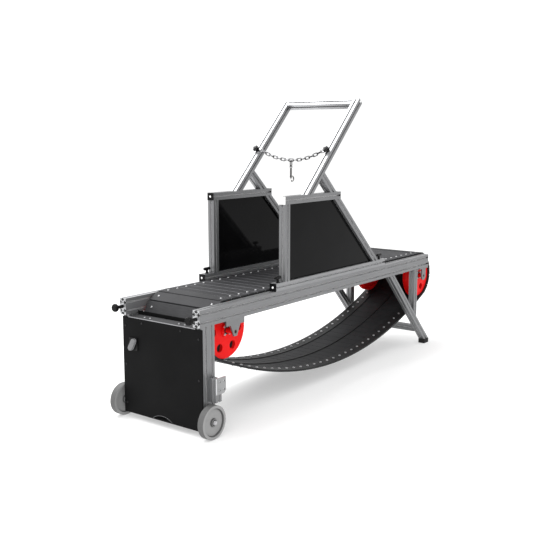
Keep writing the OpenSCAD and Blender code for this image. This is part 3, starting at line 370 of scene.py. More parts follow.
# Lit and shaded copies of one board: the hanging and rear slats darker as painted shade, the front slats lighter as
# painted light.
SHADED_SLAT = Finish("slat_board_shaded", (0.027, 0.027, 0.0285), 0.6, grain=Grain.SAWN, run=Run.ALONG_Y, swing=0.25, drift=0.12,
              gloss_swing=0.1, relief=0.00008, specular=0.08)
LIT_FRONT_SLAT = Finish("front_board_lit", (0.039, 0.039, 0.041), 0.6, grain=Grain.SAWN, run=Run.ALONG_Y, swing=0.25,
                    drift=0.12, gloss_swing=0.1, relief=0.00008, specular=0.08)
# Painted highlight: the deck's faces across X, the slats' chamfers, are made 7 times lighter.
DECK = Finish("deck_board", (0.033, 0.033, 0.035), 0.6, grain=Grain.SAWN, run=Run.ALONG_Y, swing=0.25, drift=0.12,
              gloss_swing=0.1, relief=0.00008, specular=0.08, painted_light_by_face=(7.0, 1.0, 1.0))
BELT = Finish("belt_rubber", (0.012, 0.012, 0.0125), 0.62, grain=Grain.EVEN, swing=0.3, relief=0.0001, specular=0.3)
RED = Finish("red_powder", (0.83, 0.008, 0.008), 0.4, grain=Grain.FINE, swing=0.05, drift=0.04, relief=0.00004,
             specular=0.08)
RUNNER = Finish("runner_plastic", (0.72, 0.72, 0.7), 0.5, grain=Grain.SAWN, swing=0.05)
SMOKED = Finish("smoked_sheet", (0.0045, 0.0045, 0.0048), 0.05, grain=Grain.EVEN, swing=0.1, drift=0.2,
                gloss_swing=0.02, relief=0.0, specular=0.06)
BLACK = Finish("moulded_black", (0.0045, 0.0045, 0.0048), 0.26, grain=Grain.FINE, swing=0.25, relief=0.00004,
               specular=0.12)
# Near-black that stands in for shade: in bolt sockets, in the bars' open ends and around the wheels' axle caps.
PAINTED_SHADE = Finish("painted_shade_dark", (0.02, 0.02, 0.02), 0.6, metallic=0.5, swing=0.2)
# Painted light and shade: faces across Z made bright, faces across X and Y dark, on a dark base.
CHAIN = Finish("chain_zinc", (0.06, 0.06, 0.062), 0.2, metallic=1.0, swing=0.2, painted_light_by_face=(0.1, 0.15, 8.0))
# Painted light and shade: faces across Y and Z lighter, faces across X darker.
NICKEL = Finish("hook_nickel", (0.25, 0.247, 0.24), 0.16, metallic=1.0, swing=0.12, painted_light_by_face=(0.3, 1.2, 1.6))
# Painted light and shade: faces across Y lighter, faces across X and Z darker.
LEVER = Finish("lever_grey", (0.15, 0.15, 0.155), 0.22, grain=Grain.FINE, swing=0.06, relief=0.00002, specular=0.6,
               painted_light_by_face=(0.9, 1.8, 0.7))
PLUG = Finish("plug_white", (0.9, 0.9, 0.89), 0.4, grain=Grain.FINE, swing=0.04)

NODE_FINISHES: dict[Finish, tuple[str, ...]] = {
    # Painted light and shade on the bars: faces lighter or darker by the axis that they face, lighter tones for the
    # far rail, the guard feet, the crossbar and the uprights, and greys painted into the slots.
    drawn_bar("near_rail", Run.ALONG_X, painted_light_by_face=(2.5, 1.0, 1.2)): ("rail_near",),
    drawn_bar("far_rail", Run.ALONG_X, 0.26, (1.9, 1.0, 1.6)): ("rail_far",),
    drawn_bar("guard_tops", Run.ALONG_X): ("guard_top_bars",),
    drawn_bar("guard_feet", Run.ALONG_X, 0.26): ("guard_lower_bars",),
    drawn_bar("ties", Run.ALONG_Y): ("front_ties", "deck_ties", "rear_tie"),
    drawn_bar("crossbar", Run.ALONG_Y, 0.42, (1.2, 1.0, 0.9), 0.12): ("tether_crossbar",),
    drawn_bar("posts", Run.ALONG_Z): ("front_posts", "rear_struts", "wheel_stubs", "guard_posts"),
    drawn_bar("legs", Run.LEG): ("rear_legs",),
    drawn_bar("diagonals", Run.DIAGONAL): ("guard_diagonals",),
    drawn_bar("braces", Run.DIAGONAL, 0.3, (1.0, 0.75, 1.0), 0.6): ("tether_braces",),
    drawn_bar("uprights", Run.UPRIGHT, 0.5, (0.85, 0.45, 0.85), 0.2): ("tether_uprights",),
    PLATE: ("runner_brackets", "front_hangers", "rear_hangers"),
    BRIGHT_PLATE: ("stub_plates",),
    SHELF: ("front_shelf",),
    PANEL: ("front_panel",),
    ZINC: ("frame_bolts", "wheel_axles", "slide_nuts", "tether_eyes"),
    BRIGHT_ZINC: ("slat_bolts",),
    TURNED: ("front_axle", "rear_axle", "wheel_spacers"),
    BLACK_SCREW: ("panel_screws",),
    BRONZE: ("axle_bushes",),
    FOOT: ("rear_feet",),
    WHEEL: ("wheel_near", "wheel_far"),
    SHADED_SLAT: ("hanging_slats", "rear_slats"),
    LIT_FRONT_SLAT: ("front_slats",),
    DECK: ("deck_slats",),
    BELT: ("carrier_belts",),
    RED: ("front_pulleys", "rear_pulleys", "front_hubs", "rear_hubs"),
    RUNNER: ("deck_runners",),
    SMOKED: ("guard_panels",),
    BLACK: ("guard_caps", "handle_front_near", "handle_front_far", "handle_rear_near", "handle_rear_far",
            "tension_knob_near", "tension_knob_far", "star_knob_near", "star_knob_far", "latch_base"),
    CHAIN: ("tether_chain",),
    NICKEL: ("snap_hook", "hook_gate"),
    LEVER: ("latch_lever",),
}


def at(x: float, y: float, z: float) -> Vector:
    """Point in the part's frame, from metres with X counted from the rails' front end.

    Args:
        x: Distance behind the rails' front end.
        y: Distance from the middle plane.
        z: Height above the floor.

    Returns:
        The point in the part's frame.
    """
    return Vector((x - MID_X, y, z))


def aimed(direction: Vector, place: Vector) -> Matrix:
    """Transform that turns +Z to a direction and moves the origin to a place.

    Args:
        direction: Where +Z of the shape goes.
        place: Where its origin goes.

    Returns:
        The transform.
    """
    return Matrix.Translation(place) @ direction.to_track_quat("Z", "Y").to_matrix().to_4x4()


def revolve(shape: bmesh.types.BMesh, profile: list[tuple[float, float]], where: Matrix, steps: int = 24) -> None:
    """Spin an open profile of radius and height about +Z and put it in place.

    Args:
        shape: The mesh to add to.
        profile: Points of radius and height, from the foot to the crown.
        where: The place and turn of the finished shape.
        steps: Number of steps around.
    """
    before = set(shape.verts)
    points = [shape.verts.new((r, 0.0, z)) for r, z in profile]
    edges = [shape.edges.new(pair) for pair in zip(points, points[1:])]
    bmesh.ops.spin(shape, geom=points + edges, cent=(0, 0, 0), axis=(0, 0, 1), angle=math.tau, steps=steps,
                   use_merge=True)
    bmesh.ops.remove_doubles(shape, verts=[v for v in shape.verts if v not in before], dist=1e-6)
    bmesh.ops.transform(shape, matrix=where, verts=[v for v in shape.verts if v not in before])


def prism(shape: bmesh.types.BMesh, radius: float, height: float, sides: int, where: Matrix) -> None:
    """Add a closed prism with its foot at the origin, turned and moved into place.

    Args:
        shape: The mesh to add to.
        radius: Radius over the corners.
        height: Height along +Z.
        sides: Number of sides.
        where: The place and turn of the finished shape.
    """
    bmesh.ops.create_cone(shape, cap_ends=True, segments=sides, radius1=radius, radius2=radius, depth=height,
                          matrix=where @ Matrix.Translation((0, 0, height / 2)))


def finished(shape: bmesh.types.BMesh, name: str, finish: Finish, body: str,
             smooth: bool = True) -> bpy.types.Object:
    """Turn a mesh under construction into a piece that rides on a body.

    Args:
        shape: The mesh under construction; it is freed.
        name: Name of the piece.
        finish: Its finish.
        body: The body that it moves with.
        smooth: Whether curved faces are shaded smooth.

    Returns:
        The new piece.
    """
    bmesh.ops.recalc_face_normals(shape, faces=shape.faces)
    for face in shape.faces:
        face.smooth = smooth
    for edge in shape.edges:
        edge.smooth = edge.is_manifold and edge.calc_face_angle(0.0) < SHARP_ANGLE
    mesh = bpy.data.meshes.new(name)
    shape.to_mesh(mesh)
    shape.free()
    mesh.materials.append(finish.material())
    piece = bpy.data.objects.new(name, mesh)
    bpy.context.scene.collection.objects.link(piece)
    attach(piece, body)
    LOG.info("%s: %d faces on %s", name, len(mesh.polygons), body)
    return piece


@dataclass
class SlatBelt:
    """The slat belt's path, and thin dark hexagons on the bolts along it as painted shade of their sockets."""

    front_axle: float = FRONT_AXLE_X
    rear_axle: float = REAR_AXLE_X
    axle_z: float = AXLE_Z
    radius: float = 0.13365
    belt_t: float = 0.004
    leave: float = math.radians(24.2031)
    hang_z: float = 0.094
    hang_a: float = 2.29417
    count: int = 74
    start: float = 0.005
    bolt_y: float = 0.165
    head_out: float = 0.0134
    socket_r: float = 0.0019
    socket_t: float = 0.0002

    def pose(self, s: float) -> tuple[float, float, float]:
        """Point of the belt's inner face after a length, and its outward angle.

        Args:
            s: Length from the top of the front pulley, forwards and down.

        Returns:
            X, Z and the angle of the outward direction.
        """
        mid_r = self.radius + self.belt_t / 2
        wrap = mid_r * (math.pi - self.leave)
        middle = (self.front_axle + self.rear_axle) / 2
        half = middle - self.front_axle + self.radius * math.sin(self.leave)
        hang = 2 * self.hang_a * math.sinh(half / self.hang_a)
        if s < wrap:
            t = math.pi / 2 + s / mid_r
            return self.front_axle + self.radius * math.cos(t), self.axle_z + self.radius * math.sin(t), t
        if s < wrap + hang:
            u = s - wrap - hang / 2
            w = math.asinh(u / self.hang_a)
            return middle + self.hang_a * w, self.hang_z + self.hang_a * (math.cosh(w) - 1), (
                math.atan(u / self.hang_a) - math.pi / 2)
        if s < 2 * wrap + hang:
            t = self.leave - math.pi / 2 + (s - wrap - hang) / mid_r
            return self.rear_axle + self.radius * math.cos(t), self.axle_z + self.radius * math.sin(t), t
        return self.rear_axle - (s - 2 * wrap - hang), self.axle_z + self.radius, math.pi / 2

    def length(self) -> float:
        """Add up the two wraps, the hanging run and the deck run.

        Returns:
            Length of the belt along its middle.
        """
        mid_r = self.radius + self.belt_t / 2
        half = (self.rear_axle - self.front_axle) / 2 + self.radius * math.sin(self.leave)
        return (self.rear_axle - self.front_axle + 2 * mid_r * (math.pi - self.leave)
                + 2 * self.hang_a * math.sinh(half / self.hang_a))

    def build(self) -> None:
        """Put a thin dark hexagon on every bolt head of the belt, painted shade of its socket."""
        shape = bmesh.new()
        pitch = self.length() / self.count
        for i in range(self.count):
            x, z, angle = self.pose(self.start + i * pitch)
            out = Vector((math.cos(angle), 0.0, math.sin(angle)))
            for side in SIDES:
                prism(shape, self.socket_r, self.socket_t, 6,
                      aimed(out, at(x, side * self.bolt_y, z) + out * self.head_out))
        finished(shape, "slat_bolt_socket_shade", PAINTED_SHADE, "frame", smooth=False)


@dataclass
class FrameScrews:
    """Thin dark hexagons on the heads of the frame's bolts as painted shade of their sockets, and the screws in the
    uprights' slots.
    """

    shelf_z: float = 0.4918
    shelf_x: float = 0.03905
    shelf_y: tuple[float, ...] = (-0.1249, -0.0899, 0.0899, 0.1249)
    plate_x: float = 0.07715
    plate_y: float = 0.2921
    plate_z: tuple[float, ...] = (0.21195, 0.25005)
    upright_spots: tuple[float, ...] = (0.034, 0.646)
    socket_r: float = 0.0033
    socket_t: float = 0.0002
    head_r: float = 0.0039
    head_h: float = 0.0022
    head_edge: float = 0.0012
    head_sink: float = 0.0018
    stem: float = 0.012

    def sockets(self) -> None:
        """Thin dark hexagons on the bolts on the shelf and on the drilled plates, painted shade of their sockets."""
        shape = bmesh.new()
        for y in self.shelf_y:
            prism(shape, self.socket_r, self.socket_t, 6,
                  aimed(Vector((0, 0, 1)), at(self.shelf_x, y, self.shelf_z)))
        for side in SIDES:
            for z in self.plate_z:
                prism(shape, self.socket_r, self.socket_t, 6,
                      aimed(Vector((0, side, 0)), at(self.plate_x, side * self.plate_y, z)))
        finished(shape, "frame_bolt_socket_shade", PAINTED_SHADE, "frame", smooth=False)

    def end_screws(self) -> None:
        """Screws in the mouths of the uprights' front slots, by the top bars and the crossbar."""
        shape = bmesh.new()
        for side in SIDES:
            foot = at(UPRIGHT_X, side * RAIL_Y, UPRIGHT_Z) + UPRIGHT_OUT * (BAR / 2 - self.head_sink)
            for spot in self.upright_spots:
                revolve(shape, [(0.0, -self.stem), (self.head_r, -self.stem), (self.head_r, 0.0),
                                (self.head_r - self.head_edge, self.head_h), (0.0, self.head_h)],
                        aimed(UPRIGHT_OUT, foot + UPRIGHT_ALONG * spot), 16)
        finished(shape, "upright_screws", BLACK_SCREW, "guard")

    def build(self) -> None:
        """Build the painted socket shade and the screws."""
        self.sockets()
        self.end_screws()


@dataclass
class CapPlugs:
    """White plugs in the middle of the guards' end caps."""

    spots: tuple[tuple[float, int, float], ...] = (
        (0.544, -1, GUARD_LOW_Z), (0.544, 1, GUARD_LOW_Z), (0.616, 1, GUARD_TOP_Z))
    stem: float = 0.0031
    radius: float = 0.0055
    rise: float = 0.0016
    depth: float = 0.003

    def build(self) -> None:
        """Revolve a low dome on a stem for each cap."""
        shape = bmesh.new()
        for x, side, z in self.spots:
            revolve(shape, [(0.0, -self.depth), (self.stem, -self.depth), (self.stem, 0.0001),
                            (self.radius, 0.0001), (self.radius * 0.94, self.rise * 0.55),
                            (self.radius * 0.7, self.rise * 0.9), (0.0, self.rise)],
                    aimed(Vector((-1, 0, 0)), at(x, side * RAIL_Y, z)), 20)
        finished(shape, "cap_plugs", PLUG, "guard")


@dataclass
class TensionKnobs:
    """Ribs around the belt tension knobs and a ring on their faces."""

    knob_r: float = 0.0175
    face_x: float = -0.056
    height: float = 0.5339
    head: float = 0.019
    ribs: int = 20
    rib_r: float = 0.0014
    rib_short: float = 0.008
    rib_sink: float = 0.0002
    ring: tuple[tuple[float, float], ...] = (
        (0.0115, 0.0004), (0.0115, -0.0006), (0.0105, -0.0011), (0.0095, -0.0006), (0.0095, 0.0004))

    def build(self) -> None:
        """Build the ribs and the face ring of each knob."""
        for side, name in zip(SIDES, SIDE_NAMES):
            shape = bmesh.new()
            centre = at(self.face_x, side * RAIL_Y, self.height)
            turn = aimed(Vector((1, 0, 0)), centre)
            for i in range(self.ribs):
                spin = Matrix.Rotation(math.tau * i / self.ribs, 4, "Z")
                made = bmesh.ops.create_cone(
                    shape, cap_ends=True, segments=8, radius1=self.rib_r, radius2=self.rib_r,
                    depth=self.head - self.rib_short,
                    matrix=turn @ spin @ Matrix.Translation((self.knob_r - self.rib_sink, 0, self.head / 2)))
                ends = [e for v in made["verts"] for e in v.link_edges if len(e.link_faces) == 2
                        and any(len(f.verts) > 4 for f in e.link_faces)]
                bmesh.ops.bevel(shape, geom=list(set(ends)), offset=self.rib_r * 0.6, offset_type="OFFSET",
                                affect="EDGES", segments=2, profile=0.5, material=-1)
            revolve(shape, list(self.ring), turn)
            finished(shape, f"tension_ribs_{name}", BLACK, f"{name}_tension_knob")


@dataclass
class StarCaps:
    """Round caps in the middle of the star knobs."""

    along: float = 0.274
    face_out: float = 0.0246
    radius: float = 0.0085
    rise: float = 0.002

    def build(self) -> None:
        """Revolve a low cap for each star knob."""
        for side, name in zip(SIDES, SIDE_NAMES):
            shape = bmesh.new()
            foot = at(UPRIGHT_X, side * RAIL_Y, UPRIGHT_Z) + UPRIGHT_ALONG * self.along
            revolve(shape, [(0.0, -0.001), (self.radius, -0.001), (self.radius, self.rise * 0.5),
                            (self.radius - 0.001, self.rise * 0.85), (0.0, self.rise)],
                    aimed(UPRIGHT_OUT, foot + UPRIGHT_OUT * (BAR / 2 + self.face_out)), 24)
            finished(shape, f"star_cap_{name}", BLACK, f"{name}_star_knob")


@dataclass
class EndSlotShade:
    """Dark pieces in the slots and bores at the bars' ends as painted shade, and a white cap on one end."""

    mouth: float = 0.0040
    room: float = 0.0098
    lip: float = 0.0035
    lip_room: float = 0.0023
    depth: float = 0.0123
    bore: float = 0.0032
    thick: float = 0.002
    recess: float = 0.0005
    clear: float = 0.0002
    cap_x: float = 0.6165
    cap_t: float = 0.0034
    cap_edge: float = 0.0012

    def shade_slot(self, shape: bmesh.types.BMesh, turn: float, where: Matrix) -> None:
        """Fill one slot of a bar's section with a dark piece of painted shade.

        Args:
            shape: The mesh to add to.
            turn: Angle of the slot around the bar's middle.
            where: Place of the bar's middle, with +Z along the bar, inwards.
        """
        left = [(-self.mouth, 0.0), (-self.mouth, -self.lip), (-self.room, -self.lip),
                (-self.room, -self.lip - self.lip_room), (-self.mouth, -self.depth)]
        outline = left + [(-u, v) for u, v in reversed(left)]
        top = BAR / 2 - self.clear
        points = [shape.verts.new((u, top + v, 0.0)) for u, v in outline]
        made = bmesh.ops.extrude_face_region(shape, geom=[shape.faces.new(points)], use_keep_orig=True)
        lifted = [g for g in made["geom"] if isinstance(g, bmesh.types.BMVert)]
        bmesh.ops.translate(shape, verts=lifted, vec=(0.0, 0.0, self.thick))
        bmesh.ops.transform(shape, verts=points + lifted, matrix=where @ Matrix.Rotation(turn, 4, "Z"))

    def bar_end(self, shape: bmesh.types.BMesh, inwards: int, place: Vector, slots: tuple[int, ...]) -> None:
        """Fill the slots and the bore at one end of a bar along X with painted shade.

        Args:
            shape: The mesh to add to.
            inwards: Whether the bar runs to +X or to -X from this end.
            place: Middle of the bar's end.
            slots: The slots, as quarter turns from the top one.
        """
        along = Matrix(((0, 0, inwards), (inwards, 0, 0), (0, 1, 0))).to_4x4()
        where = Matrix.Translation(place + Vector((inwards * self.recess, 0, 0))) @ along
        for slot in slots:
            self.shade_slot(shape, slot * math.pi / 2, where)
        prism(shape, self.bore, self.thick, 16, where)

    def rails(self) -> None:
        """Fill both ends of both rails with painted shade, the upper and the lower half."""
        shape = bmesh.new()
        for side, name in zip(SIDES, ("rail_near", "rail_far")):
            low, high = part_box(name)
            for x, inwards in ((low[0], 1), (high[0], -1)):
                for z, slots in ((RAIL_TOP - BAR / 2, (0, 1, 3)), (RAIL_TOP - 1.5 * BAR, (1, 2, 3))):
                    self.bar_end(shape, inwards, Vector((x, side * RAIL_Y, z)), slots)
        finished(shape, "rail_end_slot_shade", PAINTED_SHADE, "frame", smooth=False)

    def guards(self) -> None:
        """Fill the rear ends of the guards' bars with painted shade, and cap the near top bar's front end."""
        shape = bmesh.new()
        for name, z in (("guard_top_bars", GUARD_TOP_Z), ("guard_lower_bars", GUARD_LOW_Z)):
            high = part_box(name)[1]
            for side in SIDES:
                self.bar_end(shape, -1, Vector((high[0], side * RAIL_Y, z)), (0, 1, 2, 3))
        finished(shape, "guard_end_slot_shade", PAINTED_SHADE, "guard", smooth=False)
        cap = bmesh.new()
        bmesh.ops.create_cube(cap, size=1.0, matrix=Matrix.Translation(
            at(self.cap_x + self.cap_t / 2, -RAIL_Y, GUARD_TOP_Z)) @ Matrix.Diagonal((self.cap_t, BAR, BAR, 1.0)))
        bmesh.ops.bevel(cap, geom=list(cap.edges), offset=self.cap_edge, offset_type="OFFSET", affect="EDGES",
                        segments=3, profile=0.5, material=-1)
        finished(cap, "white_end_cap", PLUG, "guard")

    def build(self) -> None:
        """Build the painted end shade and the cap."""
        self.rails()
        self.guards()


@dataclass
class Drum:
    """One drum's hub bolts, painted shade around the hub's collar and behind the pulleys' webs, dark axle ends, and a
    sheet of painted shade under the slats around it.

    Attributes:
        name: Front or rear.
        body: The body that turns.
        axle_x: Distance of the axle behind the rails' front end.
        axle_end: Distance of the axle's ends from the middle plane.
        wrap: Start and sweep of the sheet of painted shade under the slats, as angles about the axle.
    """

    name: str
    body: str
    axle_x: float
    axle_end: float
    wrap: tuple[float, float]
    axle_z: float = AXLE_Z
    flange_y: float = 0.194
    bolt_count: int = 4
    bolt_circle: float = 0.024
    bolt_r: float = 0.0058
    bolt_h: float = 0.0055
    # Ring of painted shade around the hub's collar, and the disc of painted shade behind the web with its place.
    collar_shade: tuple[float, float] = (0.0131, 0.0185)
    hole_shade: tuple[float, float] = (0.034, 0.1195)
    hole_shade_y: float = 0.1726
    # Radii and reach of the sheet of painted shade under the slats.
    gap_shade: tuple[float, float] = (0.1362, 0.1372)
    gap_shade_y: tuple[float, float] = (0.0045, 0.1292)

    def spot(self, side: int, y: float) -> Matrix:
        """Place on the axle with +Z outwards on one side.

        Args:
            side: Near or far side.
            y: Distance from the middle plane.

        Returns:
            The transform.
        """
        return aimed(Vector((0, side, 0)), at(self.axle_x, side * y, self.axle_z))

    def bolts(self) -> None:
        """Domed heads over the hub's bolts."""
        shape = bmesh.new()
        for side in SIDES:
            for i in range(self.bolt_count):
                spin = Matrix.Rotation(math.tau * (i + 0.5) / self.bolt_count, 4, "Z")
                revolve(shape, [(0.0, 0.0001), (self.bolt_r, 0.0001), (self.bolt_r, self.bolt_h * 0.6),
                                (self.bolt_r * 0.8, self.bolt_h * 0.9), (0.0, self.bolt_h)],
                        self.spot(side, self.flange_y) @ spin @ Matrix.Translation((self.bolt_circle, 0, 0)), 18)
        finished(shape, f"{self.name}_hub_bolts", BRIGHT_PLATE, self.body)

    def collar_and_hole_shade(self) -> None:
        """Dark ring around the hub's collar as painted shade of a recess, a dark disc on the axle's end, and a dark
        disc behind the pulley's web as painted shade seen through its holes.
        """
        shape = bmesh.new()
        for side in SIDES:
            inner, outer = self.collar_shade
            revolve(shape, [(inner, 0.0001), (outer, 0.0001), (outer, 0.0006), (inner, 0.0014), (inner, 0.0001)],
                    self.spot(side, self.flange_y), 32)
            revolve(shape, [(0.0, 0.0), (0.0076, 0.0), (0.0072, 0.0004), (0.0, 0.0005)],
                    self.spot(side, self.axle_end), 24)
            inner, outer = self.hole_shade
            revolve(shape, [(inner, 0.0), (inner, -0.0015), (outer, -0.0015), (outer, 0.0), (inner, 0.0)],
                    self.spot(side, self.hole_shade_y), 64)
        # The feet's rubber finish here paints the shade.
        finished(shape, f"{self.name}_seals", FOOT, self.body)

    def liners(self) -> None:
        """Red disc on the inner side of the dark disc of painted shade behind each pulley's web."""
        shape = bmesh.new()
        inner, outer = self.hole_shade
        for side in SIDES:
            revolve(shape, [(inner, -0.0016), (inner, -0.003), (outer, -0.003), (outer, -0.0016), (inner, -0.0016)],
                    self.spot(side, self.hole_shade_y), 64)
        finished(shape, f"{self.name}_liners", RED, self.body)

    def gap_shade_sheets(self) -> None:
        """Thin dark sheet under the slats, on both sides of the middle rib, as painted shade in the gaps between the
        slats.
        """
        shape = bmesh.new()
        start, sweep = self.wrap
        inner, outer = self.gap_shade
        near, far = self.gap_shade_y
        corners = ((inner, near), (outer, near), (outer, far), (inner, far))
        for side in SIDES:
            points = [shape.verts.new((r * math.cos(start), side * y, r * math.sin(start))) for r, y in corners]
            bmesh.ops.spin(shape, geom=points + [shape.faces.new(points)], cent=(0, 0, 0), axis=(0, -1, 0),
                           angle=sweep, steps=40, use_merge=False)
        bmesh.ops.translate(shape, verts=shape.verts, vec=at(self.axle_x, 0.0, self.axle_z))
        # The belt's rubber finish here paints the shade.
        finished(shape, f"{self.name}_apron", BELT, "frame")

    def build(self) -> None:
        """Build the drum's fittings."""
        self.bolts()
        self.collar_and_hole_shade()
        self.liners()
        self.gap_shade_sheets()


@dataclass
class WheelFittings:
    """Domed caps on the transport wheels' axle heads, and dark rings of painted shadow under them."""

    axle_x: float = 0.03905
    axle_z: float = 0.0762
    head_y: float = 0.2906
    cap_r: float = 0.0106
    cap_h: float = 0.0078
    # Dark ring of painted shadow under each cap.
    shadow_ring_r: float = 0.0148
    shadow_ring_hole: float = 0.0086
    shadow_ring_edge: float = 0.0004
    shadow_ring_t: float = 0.0004

    def spot(self, side: int) -> Matrix:
        """Place at the foot of one wheel's axle head, with +Z outwards."""
        return aimed(Vector((0, side, 0)), at(self.axle_x, side * self.head_y, self.axle_z))

    def caps(self) -> None:
        """Revolve a domed cap over each axle head."""
        shape = bmesh.new()
        for side in SIDES:
            foot = self.shadow_ring_t
            profile = [(0.0, foot), (self.cap_r, foot), (self.cap_r, self.cap_h * 0.45)]
            profile += [(self.cap_r * math.cos(a), self.cap_h * (0.45 + 0.55 * math.sin(a)))
                        for a in (math.radians(15 * i) for i in range(1, 6))]
            revolve(shape, profile + [(0.0, self.cap_h)], self.spot(side), 32)
        finished(shape, "axle_caps", BRIGHT_ZINC, "frame")

    def cap_shadow_rings(self) -> None:
        """Revolve a dark ring under each cap, painted shadow around its foot."""
        shape = bmesh.new()
        for side in SIDES:
            revolve(shape, [(self.shadow_ring_hole, 0.0), (self.shadow_ring_r, 0.0), (self.shadow_ring_r, self.shadow_ring_t * 0.6),
                            (self.shadow_ring_r - self.shadow_ring_edge, self.shadow_ring_t), (self.shadow_ring_hole, self.shadow_ring_t),
                            (self.shadow_ring_hole, 0.0)], self.spot(side), 32)
        finished(shape, "axle_cap_shadows", PAINTED_SHADE, "frame")

    def build(self) -> None:
        """Build the caps and the rings of painted shadow."""
        self.caps()
        self.cap_shadow_rings()


@dataclass
class PanelFittings:
    """A light bead along the hand hole's arch as a painted highlight, a dark sheet behind the hole as painted shade,
    and the shelf's folded rear edge.
    """

    panel_x: float = PANEL_X
    panel_t: float = 0.006
    grip_z: float = 0.033
    grip_w: float = 0.118
    grip_h: float = 0.018
    # Radius of the light bead that paints the highlight on the hole's edge.
    highlight_bead_r: float = 0.0009
    # Size and height of the dark sheet of painted shade behind the hand hole.
    foot: tuple[float, float, float] = (0.07, 0.15, 0.003)
    hole_shade_z: float = 0.0292
    edge: tuple[float, float, float] = (0.002, 0.0185, 0.004)

    def hole_highlight_bead(self) -> None:
        """Sweep a thin light bead along the arch of the hand hole, a painted highlight on the hole's edge."""
        shape = bmesh.new()
        radius = (self.grip_w ** 2 / 4 + self.grip_h ** 2) / (2 * self.grip_h)
        reach = math.asin(self.grip_w / 2 / radius)
        centre = at(self.panel_x - self.highlight_bead_r * 0.4, 0.0, self.grip_z + self.grip_h - radius)
        made = bmesh.ops.create_circle(shape, segments=8, radius=self.highlight_bead_r, cap_ends=True,
                                       matrix=Matrix.Translation((0, 0, radius + self.highlight_bead_r * 0.6))
                                       @ Matrix.Rotation(math.pi / 2, 4, "X"))
        bmesh.ops.rotate(shape, verts=made["verts"], cent=(0, 0, 0), matrix=Matrix.Rotation(-reach, 3, "X"))
        bmesh.ops.spin(shape, geom=list(shape.verts) + list(shape.edges) + list(shape.faces), cent=(0, 0, 0),
                       axis=(1, 0, 0), angle=2 * reach, steps=28, use_merge=False)
        bmesh.ops.translate(shape, verts=shape.verts, vec=centre)
        finished(shape, "hand_hole_highlight", PLATE, "frame")

    def hole_shade_sheet(self) -> None:
        """Lay a dark sheet behind the panel under the hand hole, painted shade seen through the hole."""
        shape = bmesh.new()
        deep, half, thick = self.foot
        x = self.panel_x + self.panel_t
        bmesh.ops.create_cube(shape, size=1.0, matrix=Matrix.Translation(
            at(x + deep / 2, 0.0, self.hole_shade_z + thick / 2)) @ Matrix.Diagonal((deep, 2 * half, thick, 1.0)))
        rear = [e for e in shape.edges if all(v.co.x > at(x, 0, 0).x + deep / 2 for v in e.verts)]
        bmesh.ops.bevel(shape, geom=rear, offset=thick * 0.45, offset_type="OFFSET", affect="EDGES", segments=3,
                        profile=0.5, material=-1)
        finished(shape, "hand_hole_shade", PANEL, "frame")

    def shelf_edge(self) -> None:
        """Fold the shelf's rear edge up, as a guess at the dark strip behind the shelf in the photo."""
        shape = bmesh.new()
        low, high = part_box("front_shelf")
        thick, rise, side = self.edge
        size = Matrix.Diagonal((thick, high[1] - low[1] - side, rise, 1.0))
        place = Matrix.Translation((high[0] - thick / 2, 0.0, high[2] + rise / 2))
        bmesh.ops.create_cube(shape, size=1.0, matrix=place @ size)
        upper = [e for e in shape.edges if all(v.co.z > high[2] + rise / 2 for v in e.verts)]
        bmesh.ops.bevel(shape, geom=upper, offset=thick * 0.45, offset_type="OFFSET", affect="EDGES", segments=3,
                        profile=0.5, material=-1)
        finished(shape, "shelf_edge", PANEL, "frame")

    def build(self) -> None:
        """Build the highlight bead, the shade sheet and the shelf's folded edge."""
        self.hole_highlight_bead()
        self.hole_shade_sheet()
        self.shelf_edge()


